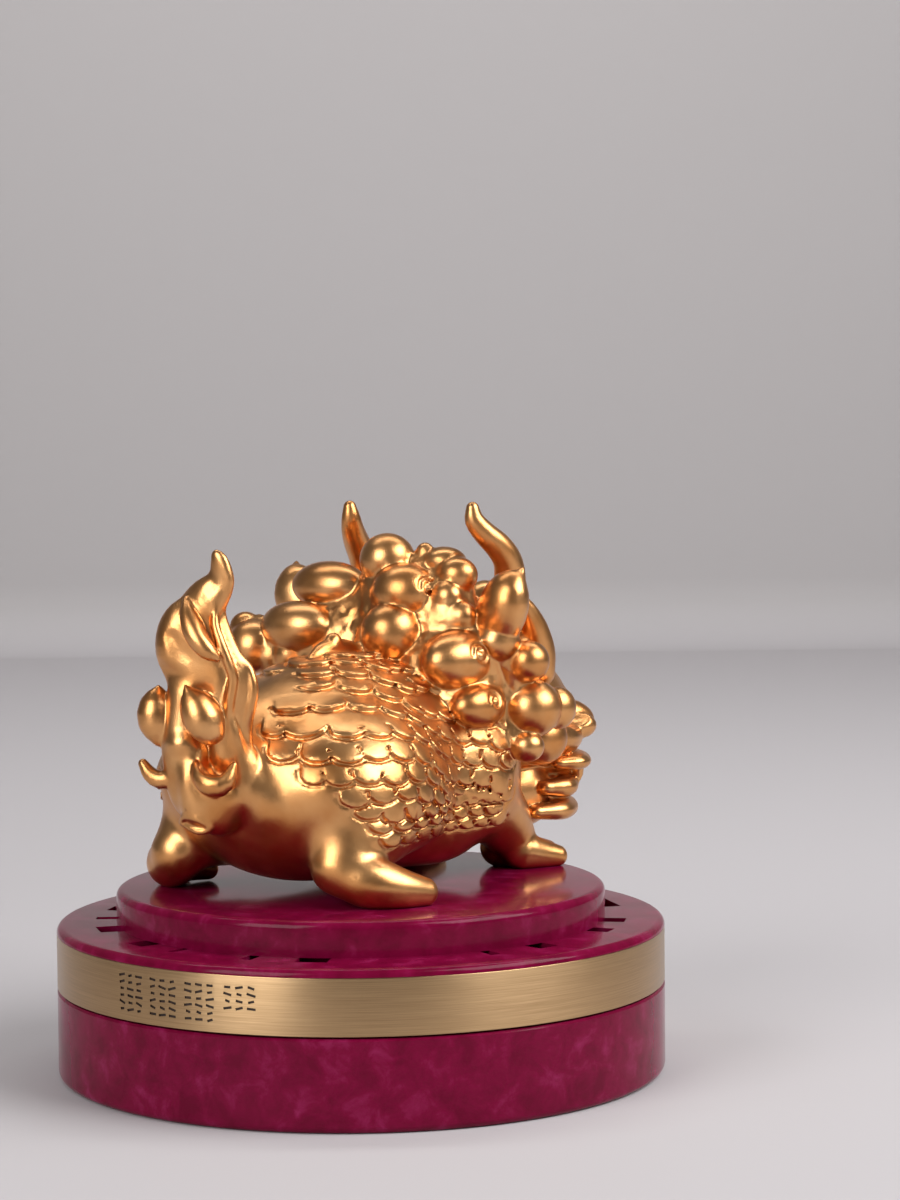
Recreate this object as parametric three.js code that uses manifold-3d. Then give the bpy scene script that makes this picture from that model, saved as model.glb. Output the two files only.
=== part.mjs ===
// A pixiu, the stout horned guardian beast of East Asian lore, cast in one piece and set on a
// round stand: a hollow drum box, its vented lid, a brass band around the lid and a raised disc.
// Millimetres, +Z up, +X is the way the beast faces. The origin is the centre of the drum's foot.

import * as THREE from 'three';
import { mergeVertices } from 'three/addons/utils/BufferGeometryUtils.js';
import Module from 'manifold-3d';

// Driving dimensions of the stand
const drumRadius = 45;
const boxTop = 12.95;
const lidTop = 22.4;
const discTop = 27.4;
const discRadius = 36.2;
const boxWall = 4;
const boxFloor = 3;
const lidPlate = 3;
const bandWidth = 8;
const bandThickness = 1.1;
const bandClearance = 0.3;
const edgeRounding = 1.1;
const jointChamfer = 0.3;
const spigotDepth = 2.5;
const spigotWall = 2;
const spigotClearance = 0.3;
const standSides = 48;

// The lid's vents are slots that start at this radius and run in under the disc. Each is an angle
// around the stand and a width, both in degrees; the far side repeats part of the near side's row.
const ventOuterRadius = 39.4;
const ventInnerRadius = 33.5;
const nearVents = [
  [-36.3, 12], [-61, 5.5], [-74.5, 5], [-98.4, 5.5], [-112, 2.5], [-150.2, 7],
  [-164, 2.7], [177.3, 1.6], [165.4, 6], [143.8, 8], [128.5, 3.3], [115, 6],
];
const farVents = nearVents.slice(2, 9).map(([angle, width]) => [angle + 180, width]);

// Where the beast's own frame stands on the disc: it sits a little to its left of the middle
const beastSeat = [0, 2.2, discTop];

const degrees = Math.PI / 180;
// A mass has half as many rings from pole to pole as it has sides
const ringShare = 0.5;
const wasm = await Module();
wasm.setup();

// Turns a closed geometry into a solid, with its doubled vertices merged
function solidOf(geometry) {
  geometry.deleteAttribute('normal');
  geometry.deleteAttribute('uv');
  const merged = mergeVertices(geometry);
  const corners = Array.from(merged.index.array);
  const triVerts = [];
  for (let i = 0; i < corners.length; i += 3) {
    const [a, b, c] = corners.slice(i, i + 3);
    if (a !== b && b !== c && c !== a) triVerts.push(a, b, c);
  }
  return new wasm.Manifold(new wasm.Mesh({
    numProp: 3,
    vertProperties: new Float32Array(merged.attributes.position.array),
    triVerts: new Uint32Array(triVerts),
  }));
}

function joined(solids) {
  return solids.reduce((whole, piece) => whole.add(piece));
}

function meshOf(solid, name, material) {
  const { vertProperties, triVerts } = solid.getMesh();
  const geometry = new THREE.BufferGeometry();
  geometry.setAttribute('position', new THREE.BufferAttribute(vertProperties, 3));
  geometry.setIndex(new THREE.BufferAttribute(triVerts, 1));
  const mesh = new THREE.Mesh(geometry, material);
  mesh.name = name;
  return mesh;
}

// A turned ring or cap: the section is a list of [radius, height], closed by the caller
function turned(section, sides = standSides) {
  const geometry = new THREE.LatheGeometry(section.map(([r, z]) => new THREE.Vector2(r, z)), sides);
  geometry.rotateX(Math.PI / 2);
  return solidOf(geometry);
}

// A rounded mass: an ellipsoid of half sizes, turned about Z
function mass(at, half, { turn = 0, sides = 10 } = {}) {
  const geometry = new THREE.SphereGeometry(1, sides, Math.round(sides * ringShare));
  geometry.rotateX(Math.PI / 2);
  geometry.scale(...half);
  geometry.rotateZ(turn * degrees);
  geometry.translate(...at);
  return solidOf(geometry);
}

// The beast's scales lie in level rows. Each row's lower edge is a height over the beast's soles.
// The rows start further forward the lower they lie, so that the rump stays bare below.
const scaleRows = [33.2, 30.6, 27.4, 24.3, 20.9, 17.9, 15.1, 12.7, 10.7, 8.9];
const scaleLift = 0.5;
const scallopShare = 0.3;
const rearScale = -26;
const bareBelow = 17;
const bareSlant = 1.5;
const plainRings = 3;
const underEdge = 1;

// A rounded mass that wears the rows of overlapping scales between two heights. Each row ends in a
// raised scalloped edge, and the next row starts flush under it. Below the last row it is plain.
function scaledMass(at, half, scales, [lowest, highest]) {
  const rows = scaleRows.filter((height) => height > lowest && height < highest);
  const downs = rows.map((height) => Math.acos((height - at[2]) / half[2]) / degrees);
  const rings = [{ down: 0, raise: 0, wave: 0, shift: 0 }];
  downs.forEach((down, row) => {
    const gap = row > 0 ? down - downs[row - 1] : downs[1] - down;
    const edge = { down, raise: scaleLift, wave: scallopShare * gap, shift: row % 2, height: rows[row] };
    rings.push(edge, { ...edge, down: down + underEdge, raise: 0 });
  });
  for (let ring = 1; ring <= plainRings; ring += 1) {
    const down = THREE.MathUtils.lerp(downs.at(-1), 180, ring / plainRings);
    rings.push({ down, raise: 0, wave: 0, shift: 0 });
  }
  const columns = 2 * scales;
  const geometry = new THREE.SphereGeometry(1, columns, rings.length - 1);
  const position = geometry.attributes.position;
  for (let i = 0; i < position.count; i += 1) {
    const ring = rings[Math.floor(i / (columns + 1))];
    const column = i % (columns + 1) % columns;
    const tip = (column + ring.shift) % 2 === 0 ? 1 : -1;
    const down = (ring.down + tip * ring.wave) * degrees;
    const around = (column / columns) * 2 * Math.PI;
    const place = new THREE.Vector3(Math.sin(down), 0, Math.cos(down));
    place.applyAxisAngle(new THREE.Vector3(0, 0, 1), around).multiply(new THREE.Vector3(...half));
    const bare = at[0] + place.x < rearScale + bareSlant * Math.max(bareBelow - ring.height, 0);
    place.multiplyScalar(1 + (bare ? 0 : ring.raise / Math.min(...half)));
    position.setXYZ(i, place.x, place.y, place.z);
  }
  geometry.translate(...at);
  return solidOf(geometry);
}

// A tapering limb, horn or lock: round sections of the given radii along a smooth curve, with
// rounded ends. A thin limb is that many times thinner from front to back than across.
function limb(points, radii, { sides = 7, steps = 6, thin = 1 } = {}) {
  const curve = new THREE.CatmullRomCurve3(points.map((p) => new THREE.Vector3(...p)));
  const { tangents, normals, binormals } = curve.computeFrenetFrames(steps);
  const radiusAt = (u) => {
    const place = u * (radii.length - 1);
    const low = Math.min(Math.floor(place), radii.length - 2);
    return THREE.MathUtils.lerp(radii[low], radii[low + 1], place - low);
  };
  const rings = [];
  const addRing = (step, radius, beyond) => rings.push({ step, radius, beyond });
  addRing(0, 0, -radiusAt(0));
  addRing(0, radiusAt(0) * Math.SQRT1_2, -radiusAt(0) * Math.SQRT1_2);
  for (let step = 0; step <= steps; step += 1) addRing(step, radiusAt(step / steps), 0);
  addRing(steps, radiusAt(1) * Math.SQRT1_2, radiusAt(1) * Math.SQRT1_2);
  addRing(steps, 0, radiusAt(1));
  const profile = rings.map(({ radius }, row) => new THREE.Vector2(radius, row));
  const geometry = new THREE.LatheGeometry(profile, sides);
  const position = geometry.attributes.position;
  for (let i = 0; i < position.count; i += 1) {
    const ring = rings[Math.round(position.getY(i))];
    const centre = curve.getPointAt(ring.step / steps);
    const offset = tangents[ring.step].clone().multiplyScalar(ring.beyond);
    offset.addScaledVector(normals[ring.step], position.getX(i));
    offset.addScaledVector(binormals[ring.step], -position.getZ(i));
    position.setXYZ(i, centre.x + offset.x / thin, centre.y + offset.y, centre.z + offset.z);
  }
  return solidOf(geometry);
}

function block(low, high) {
  const size = high.map((value, i) => value - low[i]);
  const geometry = new THREE.BoxGeometry(...size);
  geometry.translate(...high.map((value, i) => (value + low[i]) / 2));
  return solidOf(geometry);
}

const flip = ([x, y, z]) => [x, -y, z];

// The beast, in its own frame: X forward, Y to its left, Z up from the soles of its feet.
// Sides are +1 for its left and -1 for its right.

const onSide = (points, side) => points.map(([x, y, z]) => [x, y * side, z]);

function trunk() {
  const pieces = [
    scaledMass([-1, 0, 17.6], [26, 18, 16.6], 16, [17, 34]),
    mass([-1, 0, 12.5], [22, 15, 11], { sides: 12 }),
    scaledMass([-13, 0, 15.6], [15.4, 20.8, 14.2], 15, [8, 25]),
  ];
  for (const side of [1, -1]) {
    pieces.push(mass([-7.5, 12.6 * side, 15.6], [10.5, 8.4, 11]));
    pieces.push(mass([8, 8.4 * side, 12], [13, 9, 9.7]));
    pieces.push(mass([13, 12.4 * side, 18], [9.5, 7, 12]));
  }
  return pieces;
}

// The left hind foot is set a little behind the right one
const leftFootBack = 1.4;

function legs() {
  const pieces = [];
  for (const side of [1, -1]) {
    const back = side > 0 ? leftFootBack : 0;
    const thigh = [[-12, 12, 11], [-16.8, 14.2, 8.6], [-19.6 - back, 14.8, 6]];
    const foot = [[-19.8 - back, 14.6, 5.4], [-18 - back, 18.2, 3.8], [-15.2 - back, 21.2, 2.7],
      [-11.6 - back, 23, 1.9]];
    const innerToe = [[-16 - back, 18.6, 3.2], [-11 - back, 18.6, 2.2], [-7.4 - back, 18, 1.7]];
    const fore = [[15, 11, 13], [20.6, 11.4, 9], [25, 11.2, 5]];
    const toes = [
      [[25.6, 8.6, 2.8], [28.6, 8.2, 2], [31.4, 8.4, 1.5]],
      [[26, 10.8, 3], [29.8, 11.2, 2.2], [33, 12.2, 1.7]],
      [[25.6, 13, 2.6], [28.2, 14.4, 2], [30.6, 15.8, 1.5]],
    ];
    pieces.push(limb(onSide(thigh, side), [7.5, 5.8, 4], { steps: 2 }));
    pieces.push(limb(onSide(foot, side), [3.8, 4, 3.1, 2.2], { steps: 4 }));
    pieces.push(limb(onSide(innerToe, side), [2.8, 2.1, 1.7], { sides: 5, steps: 2 }));
    pieces.push(limb(onSide(fore, side), [7, 5.2, 3.8], { steps: 2 }));
    for (const toe of toes) pieces.push(limb(onSide(toe, side), [3, 2.3, 1.7], { sides: 5, steps: 2 }));
  }
  return pieces;
}

// The head is turned a little to the beast's right about the middle of its ruff
const headTurn = -20;
const headPivot = [14, 0, 0];

function inHead([forward, left, up]) {
  const spun = new THREE.Vector3(forward, left, up);
  spun.applyAxisAngle(new THREE.Vector3(0, 0, 1), headTurn * degrees);
  return [spun.x + headPivot[0], spun.y + headPivot[1], spun.z + headPivot[2]];
}

// The upper lip, the lower lip and the chin: a height, half a thickness, the front and half the width
const lips = [[15, 1.4, 31.4, 8.8], [10.9, 1.8, 29.4, 8], [7.2, 1.8, 29.6, 8]];
const lipLength = 10;

const headMass = (at, half, sides = 10) => mass(inHead(at), half, { sides, turn: headTurn });
const headLimb = (points, radii, options) => limb(points.map(inHead), radii, options);

function head() {
  const pieces = [
    mass([11, 0.5, 29], [7, 20.5, 15.4], { sides: 12 }),
    mass([14, 0, 36], [9, 15.6, 10.6], { sides: 12 }),
    mass([8, 17, 30], [6, 6, 8], { sides: 8 }),
    mass([20, 0, 26], [13.4, 18, 14], { sides: 12 }),
    headMass([15, 0, 24], [12, 12.5, 10]),
    headMass([21.5, 0, 19.2], [9.2, 8.4, 4.6]),
    headMass([18.4, 0, 11], [8.4, 6, 6.2], 8),
    headLimb([[23, 0, 27.5], [26.6, 0, 24.6], [29.6, 0, 22]], [2.8, 2.4, 2.8], { steps: 3 }),
    headMass([30.7, 0, 21], [3.1, 3.4, 3], 8),
  ];
  for (const [height, half, front, wide] of lips) {
    pieces.push(headMass([front - lipLength, 0, height], [lipLength, wide, half]));
  }
  for (const side of [1, -1]) {
    const brow = [[25, 1.8, 27.2], [24, 4.8, 29], [20.6, 8, 29.4], [16.6, 10.4, 28.6]];
    const fang = [[28.4, 4.8, 14.4], [28.6, 4.9, 11.2]];
    pieces.push(headMass([29.4, 3.7 * side, 20], [2.7, 2.2, 2.6], 8));
    pieces.push(headMass([22.6, 5.8 * side, 25.2], [3, 3.2, 2.9], 8));
    pieces.push(headMass([17, 10.4 * side, 20], [4.6, 4.2, 4.2], 8));
    pieces.push(headLimb(onSide(brow, side), [1.2, 1.9, 1.8, 0.8], { steps: 3, sides: 5 }));
    pieces.push(headLimb(onSide(fang, side), [1, 0.4], { steps: 1, sides: 4 }));
  }
  return pieces;
}

function horns() {
  const right = [[18.5, -10.5, 33], [22.2, -12.8, 40.4], [21.8, -13.9, 44.8], [20.8, -14.2, 47.4],
    [19, -13.8, 49.6], [17, -12.9, 51.5], [15.6, -12.1, 53.4], [15.2, -12, 55.3]];
  const radii = [3.4, 2.8, 2.4, 2.25, 2.05, 1.8, 1.5, 1];
  return [limb(right, radii, { sides: 6, steps: 8 }), limb(right.map(flip), radii, { sides: 6, steps: 8 })];
}

function ears() {
  const right = [[13, -18.6, 35], [12, -19.8, 39], [12.2, -20.6, 42], [13.2, -21.6, 44.6], [14.2, -22.2, 46.6]];
  const radii = [3.6, 4.4, 3.9, 1.7, 0.5];
  const options = { sides: 6, steps: 5, thin: 1.3 };
  return [limb(right, radii, options), limb(right.map(flip), radii, options)];
}

// The curls of the mane: those seen from the beast's right, of which the last are on both sides
const bothSidesFrom = 10;
const smallCurl = 3.2;
const sidesOfCurl = (half) => (Math.max(...half) > smallCurl ? 8 : 7);
const curls = [
  [[9, 10.9, 43.4], [4.2, 6.8, 3.8]], [[4, 13.2, 37.4], [4, 6.5, 3.9]],
  [[3.5, 21.8, 34], [3.9, 4.4, 4.2]], [[10, 0.3, 47.6], [4.1, 4.3, 4]],
  [[8, -4.4, 42.9], [4.4, 5.2, 4.3]], [[5, -4.4, 36.9], [4.6, 4.6, 4.6]],
  [[13, -8.2, 47.4], [3, 3.6, 2.2]], [[12, -11.4, 45.4], [2.9, 3.3, 2.8]],
  [[9.6, -11.4, 42.2], [2.2, 2.6, 2.5]], [[10, -13.7, 39.4], [2.2, 2.6, 2.4]],
  [[8, -14.6, 33.1], [6, 4.3, 4.2]], [[9, -17.5, 26.4], [5, 3.3, 3.3]],
  [[12, -19.2, 35.7], [3.2, 3.3, 3.2]], [[16, -21.7, 32.7], [3.1, 3.1, 3.1]],
  [[18, -20.9, 25.5], [4.3, 4.3, 4.3]], [[16, -21.2, 20.2], [2.5, 2.8, 2.8]],
  [[22, -22.6, 25.3], [3, 2.6, 3.2]],
];

function mane() {
  const seen = curls.map(([at, half]) => mass(at, half, { sides: sidesOfCurl(half) }));
  const behind = curls.slice(bothSidesFrom).map(([at, half]) => (
    mass(flip(at), half, { sides: sidesOfCurl(half) })
  ));
  return [...seen, ...behind];
}

function tail() {
  const core = [[-27, 1, 13.5], [-30, 2.6, 16], [-31.2, 3, 19.4], [-31.6, 3.3, 23.4], [-31.4, 2.8, 28.7],
    [-31, 2.4, 34.3]];
  const flame = [[-31, 2.3, 33.5], [-31, 2.6, 36.5], [-31, 2.2, 39.2], [-31, 1, 41.6], [-31, -0.4, 43.4],
    [-30.5, -1.9, 45.1], [-30.5, -2.9, 47], [-31, -3.1, 48.8], [-31.4, -2.9, 49.8]];
  const leaf = [[-32, 2.9, 43], [-32, 3.4, 41], [-32, 3.8, 38.8], [-31.8, 3.9, 36.4], [-31.4, 3.8, 34.2],
    [-31, 3.4, 32.6]];
  const ribbon = [[-31, -3.8, 41], [-30.2, -4.2, 36], [-29.4, -5.2, 32.5], [-29.2, -5, 29], [-28.8, -4, 24],
    [-28, -3.8, 19], [-25.6, -4.8, 15]];
  const leftBud = [[-33.2, 6.3, 24.4], [-33.6, 6.9, 26.4], [-33.6, 7, 28.2],
    [-33.5, 6.8, 29.8], [-33.5, 6.6, 31.2]];
  const rightBud = [[-33.2, -2.9, 25.4], [-33.6, -2, 27], [-33.6, -0.8, 28.6],
    [-33.4, 0.4, 30.2], [-33.4, 1.2, 31.4]];
  const leftCrescent = [[-32.6, 2.6, 20], [-33.2, 4.2, 18.6], [-34, 6, 18.1],
    [-34.4, 7.6, 18.8], [-34.6, 8.8, 20.3]];
  const rightCrescent = [[-34, -1.2, 20.4], [-34.2, -2.3, 19], [-34, -4, 18],
    [-33.2, -5.6, 18.4], [-32.2, -6.4, 20.8]];
  return [
    limb(core, [3.6, 3.8, 3.8, 3.6, 3.4, 3.4], { sides: 6, steps: 4 }),
    limb(flame, [4.6, 5, 4.4, 3.7, 3.2, 2.5, 2, 1.5, 0.9], { sides: 6, steps: 8, thin: 1.7 }),
    limb(leaf, [0.9, 2.4, 3.4, 3.7, 3.1, 2.2], { sides: 6, steps: 4, thin: 1.15 }),
    limb(ribbon, [0.7, 1.5, 1.7, 1.7, 1.7, 2.2, 3.2], { sides: 5, steps: 6 }),
    mass([-29.6, -2, 29], [2.6, 3, 9], { sides: 8 }),
    limb(leftBud, [1.8, 2.7, 2.5, 1.4, 0.4], { sides: 6, steps: 4 }),
    limb(rightBud, [2, 2.8, 2.5, 1.3, 0.4], { sides: 6, steps: 4 }),
    limb(leftCrescent, [0.6, 1.2, 1.3, 1.1, 0.7], { sides: 5, steps: 4 }),
    limb(rightCrescent, [0.7, 1.5, 1.8, 1.4, 0.5], { sides: 5, steps: 4 }),
    mass([-33.2, 2.2, 23.4], [2.3, 2.4, 2.1], { sides: 8 }),
    limb([[-32.6, 1, 22], [-33.2, 0.8, 18], [-32, 0.4, 14]], [1.8, 2, 2.4], { sides: 6, steps: 2 }),
    mass([-29.4, 0, 15.6], [4.6, 5.2, 4.2], { sides: 8 }),
    mass([-29.8, -0.8, 13.4], [4, 3.4, 3], { sides: 8 }),
  ];
}

function beast() {
  const forms = [...trunk(), ...legs(), ...head(), ...horns(), ...ears(), ...mane(), ...tail()];
  const below = block([-60, -60, -20], [60, 60, 0]);
  return joined(forms).subtract(below).translate(beastSeat);
}

// The stand

function baseBox() {
  const inside = drumRadius - boxWall;
  return turned([
    [0, 0], [drumRadius - edgeRounding, 0], [drumRadius, edgeRounding],
    [drumRadius, boxTop - jointChamfer], [drumRadius - jointChamfer, boxTop],
    [inside, boxTop], [inside, boxFloor], [0, boxFloor],
  ]);
}

function lid() {
  const inside = drumRadius - boxWall - spigotClearance - spigotWall;
  const spigot = inside + spigotWall;
  const neck = drumRadius - bandThickness - bandClearance;
  const bandTop = boxTop + jointChamfer + bandWidth;
  const underside = lidTop - lidPlate;
  const cap = turned([
    [0, underside], [inside, underside], [inside, boxTop - spigotDepth], [spigot, boxTop - spigotDepth],
    [spigot, boxTop], [neck, boxTop], [neck, bandTop],
    [drumRadius, bandTop], [drumRadius, lidTop - edgeRounding], [drumRadius - edgeRounding, lidTop],
    [0, lidTop],
  ]);
  return cap.subtract(joined([...nearVents, ...farVents].map(ventCutter)));
}

function ventCutter([angle, width]) {
  const corners = [-0.5, 0, 0.5].map((part) => (angle + part * width) * degrees);
  const along = (radius) => (turn) => new THREE.Vector2(radius * Math.cos(turn), radius * Math.sin(turn));
  const outline = [...corners.map(along(ventOuterRadius)), ...corners.reverse().map(along(ventInnerRadius))];
  const depth = lidPlate + 2;
  const geometry = new THREE.ExtrudeGeometry(new THREE.Shape(outline), { depth, bevelEnabled: false });
  geometry.translate(0, 0, lidTop - lidPlate - 1);
  return solidOf(geometry);
}

function brassBand() {
  const low = boxTop + jointChamfer;
  const inside = drumRadius - bandThickness;
  return turned([
    [inside, low], [drumRadius, low], [drumRadius, low + bandWidth], [inside, low + bandWidth], [inside, low],
  ]);
}

function topDisc() {
  return turned([
    [0, lidTop], [discRadius, lidTop], [discRadius, discTop - edgeRounding],
    [discRadius - edgeRounding, discTop], [0, discTop],
  ]);
}

const stoneLook = { color: 0x6a0f3a, roughness: 0.25, metalness: 0 };
const brassLook = { color: 0xa08452, roughness: 0.4, metalness: 1 };
const giltLook = { color: 0xc98a4a, roughness: 0.35, metalness: 1 };
const group = new THREE.Group();
group.add(
  meshOf(baseBox(), 'base_box', new THREE.MeshStandardMaterial(stoneLook)),
  meshOf(lid(), 'lid', new THREE.MeshStandardMaterial(stoneLook)),
  meshOf(topDisc(), 'top_disc', new THREE.MeshStandardMaterial(stoneLook)),
  meshOf(brassBand(), 'brass_band', new THREE.MeshStandardMaterial(brassLook)),
  meshOf(beast(), 'pixiu', new THREE.MeshStandardMaterial(giltLook)),
);

export default group;
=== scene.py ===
"""The looks of a pixiu on a round stand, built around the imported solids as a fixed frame.

Lengths are millimetres unless a name says otherwise, and meshes are written in metres. The beast is
modelled in its own frame: X is the way it faces, Y is to its left and Z is up from its soles.
"""
import math

import bmesh
import bpy
import numpy as np
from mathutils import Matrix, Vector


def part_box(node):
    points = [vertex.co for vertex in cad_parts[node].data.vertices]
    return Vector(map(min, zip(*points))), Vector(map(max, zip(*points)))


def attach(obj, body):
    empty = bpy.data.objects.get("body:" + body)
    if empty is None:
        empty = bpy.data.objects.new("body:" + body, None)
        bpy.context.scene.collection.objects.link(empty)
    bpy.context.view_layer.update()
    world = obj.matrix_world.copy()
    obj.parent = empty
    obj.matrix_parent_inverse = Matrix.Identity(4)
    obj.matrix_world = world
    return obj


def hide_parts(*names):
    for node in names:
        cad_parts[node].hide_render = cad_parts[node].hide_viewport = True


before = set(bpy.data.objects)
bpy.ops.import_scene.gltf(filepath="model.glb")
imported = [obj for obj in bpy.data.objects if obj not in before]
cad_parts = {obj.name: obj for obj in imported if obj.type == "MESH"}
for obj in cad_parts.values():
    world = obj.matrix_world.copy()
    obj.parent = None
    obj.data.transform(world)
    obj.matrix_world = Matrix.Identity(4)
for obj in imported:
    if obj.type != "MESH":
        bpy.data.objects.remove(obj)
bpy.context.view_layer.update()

import openvdb
from mathutils import Matrix, Vector

bl_info = {
    "name": "Pixiu on a round stand",
    "version": (1, 0, 0),
    "blender": (4, 5, 0),
    "location": "3D View > Sidebar > Pixiu",
    "description": "Builds the cast beast, its stone stand with a brass band, and a plain stage",
    "category": "Object",
}

MM = 0.001

# The stand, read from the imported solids
DRUM_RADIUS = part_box("base_box")[1].x / MM
BOX_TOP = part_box("base_box")[1].z / MM
LID_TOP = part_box("lid")[1].z / MM
DISC_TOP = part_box("top_disc")[1].z / MM
DISC_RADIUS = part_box("top_disc")[1].x / MM
BAND_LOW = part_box("brass_band")[0].z / MM
BAND_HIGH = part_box("brass_band")[1].z / MM
BOX_WALL = 4.0
BOX_FLOOR = 3.0
LID_PLATE = 3.0
BAND_THICKNESS = 1.1
BAND_CLEARANCE = 0.3
EDGE_ROUNDING = 1.1
JOINT_CHAMFER = 0.3
SPIGOT_DEPTH = 2.5
SPIGOT_WALL = 2.0
SPIGOT_CLEARANCE = 0.3
FLOOR_ROUNDING = 0.8
HOLLOW_ROUNDING = 0.6
SPIGOT_ROUNDING = 0.3
BAND_ROUNDING = 0.12

# Where the beast's own frame stands on the disc
BEAST_SEAT = (0.0, 2.2, DISC_TOP)

BOTH_SIDES = (1, -1)
# A distance in mm that stands for anywhere well outside the metal
FAR = 50.0


def linear(colour):
    """An sRGB hex colour as the linear RGBA that a shader takes."""
    channels = [(colour >> shift & 255) / 255 for shift in (16, 8, 0)]
    return tuple(c / 12.92 if c <= 0.04045 else ((c + 0.055) / 1.055) ** 2.4 for c in channels) + (1.0,)


# The clay: a solid kept as signed distances

# How far to each side the clay is felt for its slope
SLOPE_REACH = 0.6
# The room that a shape's window on the grid has around it, at the least
LEAST_ROOM = 0.5
# The length of the straight pieces that a limb's curve is followed in, in steps of the grid
LIMB_PIECE = 2.5


def smooth_low(a, b, blend):
    """The lower of two distances, with the seam between them filleted over the given width."""
    overlap = np.maximum(blend - np.abs(a - b), 0) / blend
    return np.minimum(a, b) - overlap * overlap * blend / 4


class Clay:
    """A solid on a regular grid, as its distance in mm from the surface, negative inside the metal."""

    def __init__(self, low, high, step):
        self.low = np.array(low, np.float32)
        self.high = np.array(high, np.float32)
        self.step = step
        counts = np.ceil((np.array(high) - self.low) / step).astype(int) + 1
        self.depth = np.full(counts, FAR, np.float32)

    def copy(self):
        twin = Clay(self.low, self.high, self.step)
        twin.depth[:] = self.depth
        return twin

    def window(self, low, high):
        """The part of the grid inside a box, and the coordinates of its points."""
        first = np.floor((np.asarray(low) - self.low) / self.step).astype(int)
        last = np.ceil((np.asarray(high) - self.low) / self.step).astype(int) + 1
        first = np.clip(first, 0, self.depth.shape)
        last = np.clip(last, 0, self.depth.shape)
        cut = tuple(slice(a, b) for a, b in zip(first, last))
        axes = [self.low[i] + np.float32(self.step) * np.arange(first[i], last[i], dtype=np.float32)
                for i in range(3)]
        return cut, np.meshgrid(*axes, indexing="ij", sparse=True)

    def join(self, cut, distance, blend):
        self.depth[cut] = smooth_low(self.depth[cut], distance, blend)

    def carve(self, cut, distance, blend):
        self.depth[cut] = -smooth_low(-self.depth[cut], distance, blend)

    def sample(self, points):
        """The distance at each of some points, by linear interpolation."""
        place = (np.asarray(points) - self.low) / self.step
        base = np.clip(np.floor(place).astype(int), 0, np.array(self.depth.shape) - 2)
        share = place - base
        total = 0
        for corner in np.ndindex(2, 2, 2):
            weight = np.prod(np.where(np.array(corner), share, 1 - share), axis=-1)
            total = total + weight * self.depth[tuple((base + corner).T)]
        return total

    def slope(self, point):
        """The outward direction at a point."""
        offsets = SLOPE_REACH * np.eye(3)
        rise = self.sample(point + offsets) - self.sample(point - offsets)
        return rise / np.linalg.norm(rise)


def mass(clay, at, half, turn=0.0, blend=0.8, carve=False):
    """A rounded mass: an ellipsoid that is turned about Z by some degrees."""
    reach = max(half) + max(blend, LEAST_ROOM)
    cut, (x, y, z) = clay.window(np.array(at) - reach, np.array(at) + reach)
    x, y, z = x - at[0], y - at[1], z - at[2]
    if turn:
        c, s = math.cos(math.radians(turn)), math.sin(math.radians(turn))
        x, y = x * c + y * s, y * c - x * s
    near = np.sqrt((x / half[0]) ** 2 + (y / half[1]) ** 2 + (z / half[2]) ** 2)
    steep = np.sqrt((x / half[0] ** 2) ** 2 + (y / half[1] ** 2) ** 2 + (z / half[2] ** 2) ** 2)
    distance = near * (near - 1) / np.maximum(steep, 1e-6)
    (clay.carve if carve else clay.join)(cut, distance, blend)


def smooth_path(points, spacing):
    """Points close together on a Catmull-Rom curve through some rows of numbers, evenly along it."""
    rows = np.array(points, float)
    padded = np.vstack([2 * rows[0] - rows[1], rows, 2 * rows[-1] - rows[-2]])
    path = []
    for i in range(len(rows) - 1):
        a, b, c, d = padded[i:i + 4]
        pieces = max(2, int(np.linalg.norm((c - b)[:3]) / spacing))
        for t in np.arange(pieces) / pieces:
            path.append(0.5 * (2 * b + (c - a) * t + (2 * a - 5 * b + 4 * c - d) * t ** 2
                               + (3 * b - a - 3 * c + d) * t ** 3))
    path.append(rows[-1])
    return np.array(path)


def limb(clay, points, radii, blend=0.8, flat=None, thin=1.0, carve=False):
    """A tapering limb, horn, lock or groove of round sections along a smooth curve.

    flat is a direction in which the section is thinner, by the factor thin, or one for each point.
    """
    flats = np.zeros((len(points), 3)) if flat is None else np.broadcast_to(flat, (len(points), 3))
    path = smooth_path(np.column_stack([points, radii, flats]), LIMB_PIECE * clay.step)
    reach = path[:, 3].max() + max(blend, LEAST_ROOM)
    cut, _ = clay.window(path[:, :3].min(0) - reach, path[:, :3].max(0) + reach)
    shape = clay.depth[cut].shape
    start = np.array([part.start for part in cut])
    own = np.full(shape, FAR, np.float32)
    for a, b in zip(path[:-1], path[1:]):
        reach = max(a[3], b[3]) + max(blend, LEAST_ROOM)
        low, high = np.minimum(a, b)[:3] - reach, np.maximum(a, b)[:3] + reach
        small, axes = clay.window(low, high)
        run = (b - a)[:3]
        offset = [axis - value for axis, value in zip(axes, a[:3])]
        along = sum(o * r for o, r in zip(offset, run)) / np.dot(run, run)
        along = np.clip(along, 0, 1)
        away = [o - along * r for o, r in zip(offset, run)]
        length = np.sqrt(sum(w * w for w in away))
        radius = a[3] + along * (b[3] - a[3])
        if flat is None:
            distance = length - radius
        else:
            side = (a + b)[4:7]
            side = side / np.linalg.norm(side)
            across = sum(w * s for w, s in zip(away, side))
            stretched = np.sqrt(length ** 2 + (thin ** 2 - 1) * across ** 2)
            distance = (stretched - radius) * length / np.maximum(stretched, 1e-4)
            distance = np.where(length < 1e-3, -radius / thin, distance)
        local = tuple(slice(part.start - s, part.stop - s) for part, s in zip(small, start))
        own[local] = np.minimum(own[local], distance)
    (clay.carve if carve else clay.join)(cut, own, blend)


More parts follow.
